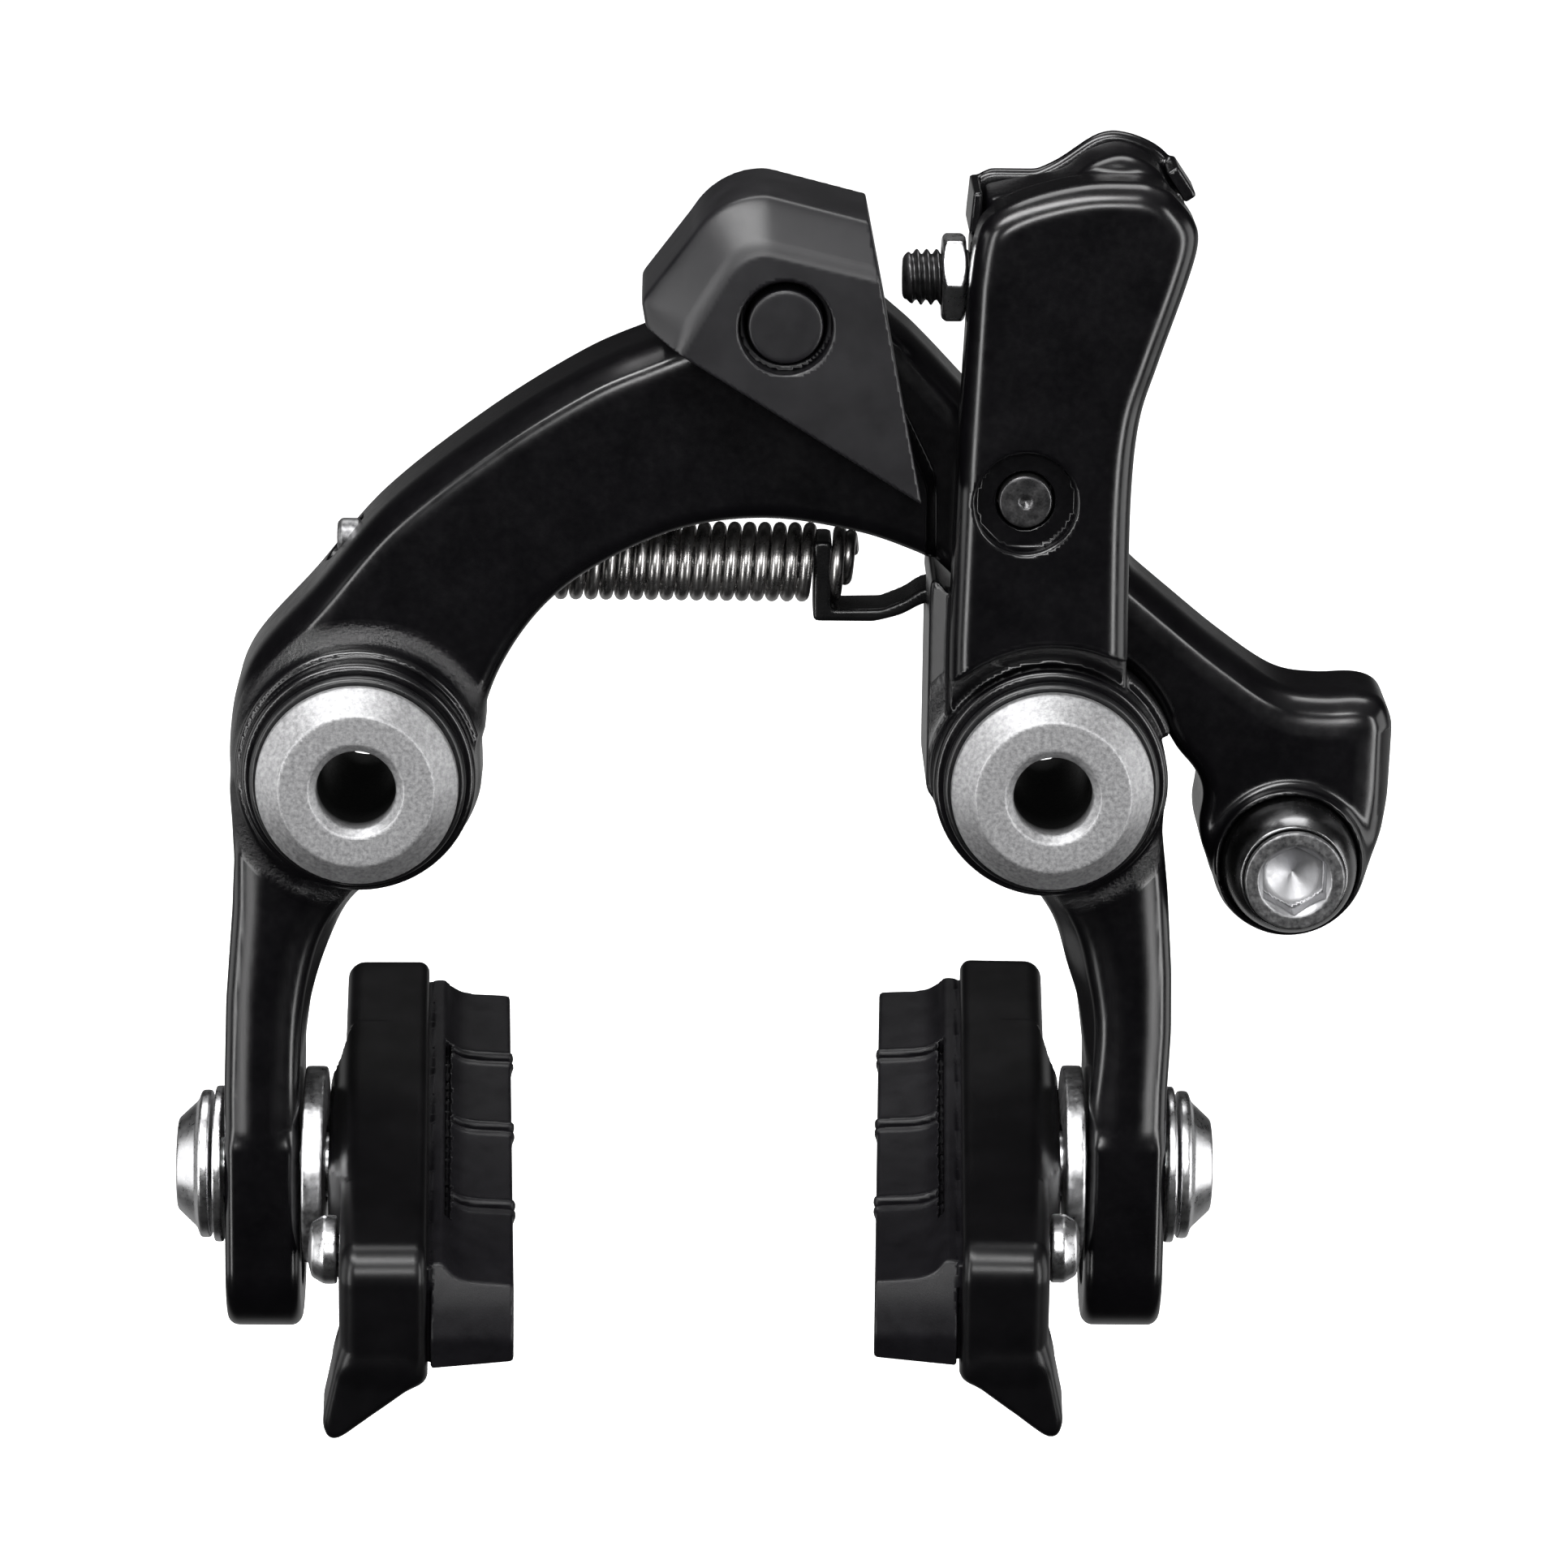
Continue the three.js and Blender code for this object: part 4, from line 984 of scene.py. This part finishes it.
def threaded(r, angle, along, radius, pitch, depth):
    """A thread whose crest winds round once for each pitch."""
    phase = along / pitch - angle / (2 * math.pi)
    crest = 1 - 2 * np.abs(phase - np.floor(phase) - 0.5)
    crest = 0.5 - 0.5 * np.cos(math.pi * crest)
    return (r - radius + depth * (1 - crest)) * 0.8


def limit_pieces():
    def screw(x, y, z):
        u, v = y - LIMIT_SCREW[0], z - LIMIT_SCREW[1]
        r = np.hypot(u, v)
        thread = threaded(r, np.arctan2(v, u), x, 2.25, 0.8, 0.42)
        tip = r - 1.75 - np.clip((x - 15.4) * 0.5, 0, 1)
        body = meet(thread, tip, 0.15)
        body = meet(body, common(15.45 - x, x - 26.1), 0.45)
        socket = common(hexagon(u, v, 1.9), x - 16.9)
        return cut(body, socket, 0.1)

    make("limit_screw", screw, "dark_steel", 0.12)
    crown = turned([(0, 18.6), (3.2, 18.6), (3.75, 18.9), (3.75, 20.2), (3.2, 20.5), (0, 20.5)], 0.08)

    def nut(x, y, z):
        return hex_nut(y - LIMIT_SCREW[0], z - LIMIT_SCREW[1], x, 6.6, crown, LIMIT_HOLE_R, 0.12, 0.2)

    make("limit_nut", nut, "bright_steel", 0.16)


def roller_pieces():
    pin = turned(ring_profile(0, 2.15, 3.8, 17.1), 0.12)

    def roller_pin(x, y, z):
        r = disc(x, z, ROLLER_PIN, 0)
        dimple = r * 0.8 + (y - 4.25)
        return cut(pin(r, y), dimple, 0.1)

    make("roller_pin", roller_pin, "dark_steel", 0.16)
    make_round("cam_roller", ROLLER_PIN, [
        (2.25, 10.7), (3.7, 10.7), (4, 11), (4, 16.4), (3.7, 16.7), (2.25, 16.7),
    ], "bright_steel", 0.22, 0.08)


# ---- cable anchor

def anchor_pieces():
    head = turned([(0, 4), (4.1, 4), (4.1, 4.7), (3.5, 5.2), (3.5, 7.6), (2.5, 8.6), (2.5, 24.6), (0, 24.6)],
                  0.12)

    def bolt(x, y, z):
        r = disc(x, z, ANCHOR, 0)
        u, v = x - ANCHOR[0], z - ANCHOR[1]
        body = head(r, y)
        body = cut(body, common(hexagon(u, v, 5, 30), y - 6.4), 0.1)
        body = cut(body, (r - 3 + (y - 4) * 1.1) * 0.7, 0.08)
        drill_point = common((r - 2.3 + (y - 6.4) * 2.6) * 0.36, 6.2 - y)
        return cut(body, drill_point, 0.1)

    make("anchor_bolt", bolt, "bush_steel", 0.16, look="bolt_steel")

    dome = turned([(3.8, 8.4), (3.8, 5.3), (4.15, 4.95), *curve([(4.3, 4.95), (4.85, 5.9), (5.25, 7.3),
                   (5.45, 8.8), (5.5, 9.8)], 16), (5.5, 10), (2.8, 10), (2.8, 8.9)], 0.1)
    low, high = span("anchor_washer")
    low[1] = 4.5              # the dome stands proud of the plain CAD washer
    washer = carve("anchor_washer_skin", lambda x, y, z: dome(disc(x, z, ANCHOR, 0), y),
                   low - BOX_MARGIN, high + BOX_MARGIN, 0.17)
    finish(washer, "anchor_washer", "dark_steel", "dark_chrome")

    def clamp(x, y, z):
        u, v = x - ANCHOR[0], z - ANCHOR[1]
        outline = meet(np.abs(u) - 5.6, np.abs(v) - 4.6, 1.0)
        body = plate(outline, y, 21.3, 22.8, 0.2)
        body = cut(body, disc(y, z, (21.3, ANCHOR[1] + 3.4), 0.9), 0.12)
        return cut(body, np.hypot(u, v) - ANCHOR_HOLE_R, 0.2)

    make("clamp_plate", clamp, "bright_steel", 0.2)

    crown = turned([(0, 23.1), (4.1, 23.1), (4.5, 23.4), (4.5, 25.2), (4, 25.6), (0, 25.6)], 0.08)

    def nut(x, y, z):
        return hex_nut(x - ANCHOR[0], z - ANCHOR[1], y, 8, crown, ANCHOR_HOLE_R, 0.15, 0.25)

    make("clamp_nut", nut, "bright_steel", 0.18)


# ---- head of the right arm

def head_pieces():
    section = Section(COVER_OUTLINE, 0.3)
    lip = Section([(20.7, 43.9), (21, 47.4), (21.75, 47.4), (21.75, 43.9)], 0.12, 0.1)
    tab_turn = math.radians(-34)
    stop_x, stop_y, stop_z = STOP["place"]

    def cover(x, y, z):
        body = plate(section(x, z), y, 16.9, 18.3, 0.6)
        body = merge(body, plate(lip(x, z), y, UPRIGHT_FRONT_Y + FIT_GAP, 18.3, 0.2), 0.2)
        u, w = turned_axes(x, z, (37.8, 47.7), tab_turn)
        tab = block(u, y, w, ((-0.55, 0.55), (12.7, 18.3), (-1.45, 1.45)), 0.25)
        body = merge(body, tab, 0.3)
        body = cut(body, disc(x, z, COVER_SCREW, SMALL_HOLE_R), 0.2)
        return cut(body, disc(x, z, (stop_x, stop_z), STOP_HOLE_R), 0.2)

    make("head_cover", cover, "arm_gloss_black", 0.25)

    screw = turned([(0, 14.2), (1.2, 14.2), (1.2, 18.6), (2.4, 18.6), (2.4, 19.6), (1.8, 20.1), (0, 20.1)])

    def cover_screw(x, y, z):
        u, v = x - COVER_SCREW[0], z - COVER_SCREW[1]
        socket = common(hexagon(u, v, 2), 18.9 - y)
        return cut(screw(np.hypot(u, v), y), socket, 0.08)

    make("cover_screw", cover_screw, "dark_steel", 0.14)

    tilt = math.radians(STOP["tilt"])
    barrel = turned([(0, -4.5), (3.2, -4.5), (3.6, -4.1), (3.6, 4.1), (3.2, 4.5), (0, 4.5)], 0.12)
    bore = turned([(0, -7), (0.9, -7), (0.9, -1.5), (2.6, -1.5), (2.6, 7), (0, 7)], 0.1)

    def stop(x, y, z):
        across, along = turned_axes(x, z, (stop_x, stop_z), -tilt)
        r = np.hypot(across, y - stop_y)
        stem = plate(disc(x, z, (stop_x, stop_z), 2.5), y, 11, 20.4, 0.2)
        rings = 0.12 * (0.5 + 0.5 * np.cos(along * 2 * math.pi / 1.6)) * ramp(np.abs(along), 3.6, 2.8)
        return cut(merge(barrel(r, along) + rings, stem, 0.5), bore(r, along), 0.2)

    make("cable_stop", stop, "satin_black_alloy", 0.22)


# ---- brake shoes

def shoe_axes(side):
    """Turns a place into the shoe's own axes: outwards, along, up, in millimetres."""
    pitch = Matrix.Rotation(math.radians(SHOE_PITCH), 3, "X")
    toe = Matrix.Rotation(math.radians(-side["sign"] * SHOE_TOE), 3, "Z")
    turn = np.array(toe @ pitch)
    origin = (side["holder"] - side["sign"] * SHOE_WIDTH / 2, SHOE_Y, side["bolt_z"])

    def local(x, y, z):
        p = [x - origin[0], y - origin[1], z - origin[2]]
        out, along, up = (sum(float(turn[k, axis]) * p[k] for k in range(3)) for axis in range(3))
        return out * side["sign"], along, up

    return local


def shoe(side):
    local = shoe_axes(side)
    name = side["name"]
    half_length = SHOE_LENGTH / 2
    half_height = SHOE_HEIGHT / 2
    half_width = SHOE_WIDTH / 2
    wing = Section([(3.3, -3), (3.9, -4.2), (4.9, -9.1), (4.5, -10.7), (3.6, -10.6), (-3.2, -5.2),
                    (-2, -3)], 0.45, 0.15)

    def holder(x, y, z):
        u, v, w = local(x, y, z)
        outline = meet(np.abs(v) - half_length, np.abs(w) - half_height, 2.8)
        shell = plate(outline, u, -half_width, half_width, 0.9, 1.5)
        grow = np.clip((4.7 - u) / 1.2, 0, 1.4)
        pad = common(np.abs(v) - 8.6 - 3.4 * grow, np.abs(w) - 4 - 0.8 * grow)
        pad = meet(pad * 0.6, u - 4.7, 0.4)
        shell = merge(shell, common(pad, -u), 0.8)
        fin = plate(wing(u, w), v, -half_length + 0.2, -half_length + 6, 0.7, 1.0)
        shell = merge(shell, fin, 0.9)
        channel = common(u - 0.5, np.abs(w) - 4.6, np.abs(v) - half_length + 1.6)
        shell = cut(shell, channel, 0.25)
        shell = cut(shell, common(np.hypot(v, w) - 3.1, -1 - u), 0.2)
        return cut(shell, common(disc(v, w, PAD_SCREW, SMALL_HOLE_R), -1 - u), 0.15)

    make(f"{name}_pad_holder", holder, "arm_gloss_black", 0.34, look="holder_satin_black")

    face = -half_width - PAD_PROUD
    section = Section([(0.2, 4.3), (-3.8, 4.3), (-4.7, 4.4), *curve([(-4.9, 4.35), (-5.6, 3.6), (-7, 3.05),
                       (face, 2.8)], 12)[1:], (face, -3.6), (-3.8, -4.3), (0.2, -4.3)], 0.16, 0.12)
    side_view = Section([*curve([(-half_length + 3, 5), (-half_length + 2, 3.2), (-half_length + 1, 1),
                                 (-half_length + 0.3, -1.4)], 12), (-half_length + 1, -5),
                         (half_length - 1.6, -5), (half_length - 1.6, 5)], 0.3, 0.2)

    def pad(x, y, z):
        u, v, w = local(x, y, z)
        proud = meet(side_view(v, w), u + half_width + FIT_GAP, 0.2)
        seated = common(-3.9 - u, u - 1, np.abs(v) - half_length + 1.9)
        rubber = meet(section(u, w), np.minimum(proud, seated), 0.2)
        for at in GROOVES_Y:
            across = np.abs(v - at)
            in_face = common(across - 0.42, u - face - 1.3)
            in_top = common(across - 0.42, u - face - 4.9, 1.9 - w)
            lip = 0.22 * np.exp(-((across - 0.85) / 0.32) ** 2)
            lip = lip * ramp(face + 5.3 - u, 0, 0.6) * ramp(w, 1.6, 2.4)
            rubber = cut(rubber - lip, np.minimum(in_face, in_top), 0.16)
        line = common(np.abs(u + 5.1) - 0.2, 2.6 - w, np.abs(v + 1) - 16)
        return cut(rubber, line, 0.1)

    make(f"{name}_brake_pad", pad, "pad_rubber", 0.27)

    screw = turned([(0, 0.9), (1.2, 0.9), (1.2, 3.8), (2.8, 3.8), (2.8, 4.9), (2.2, 5.9), (1, 6.2),
                    (0, 6.2)], 0.14)

    def pad_screw(x, y, z):
        u, v, w = local(x, y, z)
        body = screw(disc(v, w, PAD_SCREW, 0), u)
        return cut(body, common(hexagon(v - PAD_SCREW[0], w, 2), 5.2 - u), 0.08)

    make(f"{name}_pad_screw", pad_screw, "bright_steel", 0.16)


def bolt_pieces(side):
    """Pad bolt and its washers, on an axis along X."""
    name, sign = side["name"], side["sign"]
    axis = (SHOE_Y, side["bolt_z"])
    seat = side["outer"] * sign + 1.25
    shank_end = side["holder"] * sign - 2.4
    head = turned([(0, shank_end), (2.7, shank_end), (2.7, seat), (6.15, seat), (6.15, seat + 0.9),
                   (5.3, seat + 1.2), (3.75, seat + 2.85), (0, seat + 2.85)], 0.14)

    def bolt(x, y, z):
        out = x * sign
        body = head(disc(y, z, axis, 0), out)
        socket = common(hexagon(y - axis[0], z - axis[1], 4), seat + 0.9 - out)
        return cut(body, socket, 0.12)

    make(f"{name}_pad_bolt", bolt, "bright_steel", 0.2)
    outer_at = side["outer"] * sign + 0.25
    outer = turned(ring_profile(3.1, 6.5, outer_at, outer_at + 0.75))
    make(f"{name}_outer_washer", lambda x, y, z: outer(disc(y, z, axis, 0), x * sign), "bright_steel", 0.18)
    inner_low, inner_high = side["holder"] * sign + 1.4, side["inner"] * sign - 0.2
    inner = turned(ring_profile(3.1, 8.2, inner_low, inner_high), 0.14)
    make(f"{name}_inner_washer", lambda x, y, z: inner(disc(y, z, axis, 0), x * sign), "bright_steel", 0.2,
         look="plated_washer")


# ---- build

for side_name, x in (("left", -PIVOT_X), ("right", PIVOT_X)):
    pivot_pieces(side_name, x)
left_arm()
right_arm()
cam_block()
spring()
spring_fittings()
limit_pieces()
roller_pieces()
anchor_pieces()
head_pieces()
for side in (LEFT, RIGHT):
    shoe(side)
    bolt_pieces(side)


# ---- floor, light and camera

TARGET = Vector((6.325, 0, 1.011)) * MM
CAMERA_DISTANCE = 560 * MM
CAMERA_TURN = math.radians(-0.981)
CAMERA_RISE = math.radians(15.22)
CAMERA_ROLL = math.radians(0.781)
SENSOR = 36.0
LENS = 160.35
FLOOR_Z = -0.09


def floor():
    reach = 4.0 / MM
    rim = np.array([(-reach, -reach, 0), (reach, -reach, 0), (reach, reach, 0), (-reach, reach, 0)])
    ground = as_object("floor", rim, np.array([[0, 1, 2, 3]]))
    ground.location.z = FLOOR_Z
    material, shader, add, links = tree("pale_floor")
    place = add("ShaderNodeTexCoord").outputs["Object"]
    tone = mapped(add, noise(add, place, 0.02, 2), 0, 1)
    links.new(mixed(add, tone, (0.90, 0.90, 0.90), (0.93, 0.93, 0.93)), shader.inputs["Base Color"])
    shader.inputs["Roughness"].default_value = 0.8
    shader.inputs["Emission Color"].default_value = (1, 1, 1, 1)
    shader.inputs["Emission Strength"].default_value = 0.9
    ground.data.materials.append(material)
    ground.visible_glossy = False
    ground.visible_diffuse = False
    ground.visible_shadow = False


def soft_box(name, place, size, power):
    """A rectangular light in metres and watts that faces the origin."""
    light = bpy.data.lights.new(name, "AREA")
    light.shape = "RECTANGLE"
    light.size, light.size_y = size
    light.energy = power
    lamp = placed(name, light)
    lamp.location = place
    lamp.rotation_euler = (-lamp.location).to_track_quat("-Z", "Y").to_euler()


def world():
    """White behind the object and a dark room with a little light from above for everything else."""
    sky = bpy.data.worlds.new("studio")
    scene.world = sky
    sky.use_nodes = True
    sky.node_tree.nodes.clear()
    add = adder(sky.node_tree)
    axes = parts_of(add, add("ShaderNodeTexCoord").outputs["Generated"])

    def rise(axis, start, end, low, high):
        node = add("ShaderNodeMapRange", {"Value": axes[axis], "From Min": start, "From Max": end,
                                          "To Min": low, "To Max": high}, interpolation_type="SMOOTHSTEP")
        return node.outputs["Result"]

    above = rise("Z", 0.55, 1.0, 0.02, 0.35)
    low_behind = maths(add, "MULTIPLY", rise("Y", 0.2, 0.7, 0, 0.4), rise("Z", -0.12, 0.08, 1, 0))
    room = add("ShaderNodeBackground", {"Strength": maths(add, "ADD", above, low_behind)}).outputs[0]
    white = add("ShaderNodeBackground", {"Color": (1, 1, 1, 1), "Strength": 1.0}).outputs[0]
    to_camera = add("ShaderNodeLightPath").outputs["Is Camera Ray"]
    either = add("ShaderNodeMixShader", {0: to_camera, 1: room, 2: white}).outputs[0]
    add("ShaderNodeOutputWorld", {"Surface": either})


def camera():
    turn, rise, roll = CAMERA_TURN, CAMERA_RISE, CAMERA_ROLL
    back = Vector((math.sin(turn) * math.cos(rise), -math.cos(turn) * math.cos(rise), math.sin(rise)))
    right = (-back).cross(Vector((0, 0, 1))).normalized()
    up = right.cross(-back)
    rolled_right = right * math.cos(roll) + up * math.sin(roll)
    rolled_up = up * math.cos(roll) - right * math.sin(roll)
    data = bpy.data.cameras.new("camera")
    data.lens = LENS
    data.sensor_width = SENSOR
    data.clip_start = 0.01
    data.clip_end = 20
    viewer = placed("camera", data)
    axes = Matrix((rolled_right, rolled_up, back)).transposed().to_4x4()
    viewer.matrix_world = Matrix.Translation(TARGET + back * CAMERA_DISTANCE) @ axes
    scene.camera = viewer


floor()
world()
camera()
for name, place, size, power in (
    ("key_above", (-0.16, -0.30, 0.52), (0.55, 0.16), 4.6),
    ("top", (0.0, 0.22, 0.56), (0.5, 0.25), 2.0),
    ("left_strip", (-0.42, -0.36, 0.03), (0.11, 0.6), 1.8),
    ("right_strip", (0.42, -0.36, 0.03), (0.11, 0.6), 2.0),
    ("left_panel", (-0.55, 0.0, 0.0), (0.3, 0.5), 0.9),
    ("right_panel", (0.55, 0.0, 0.0), (0.3, 0.5), 1.1),
    ("front_fill", (-0.06, -0.82, 0.30), (0.4, 0.14), 3.0),
):
    soft_box(name, place, size, power)

scene.view_settings.view_transform = "Standard"
scene.view_settings.look = "None"
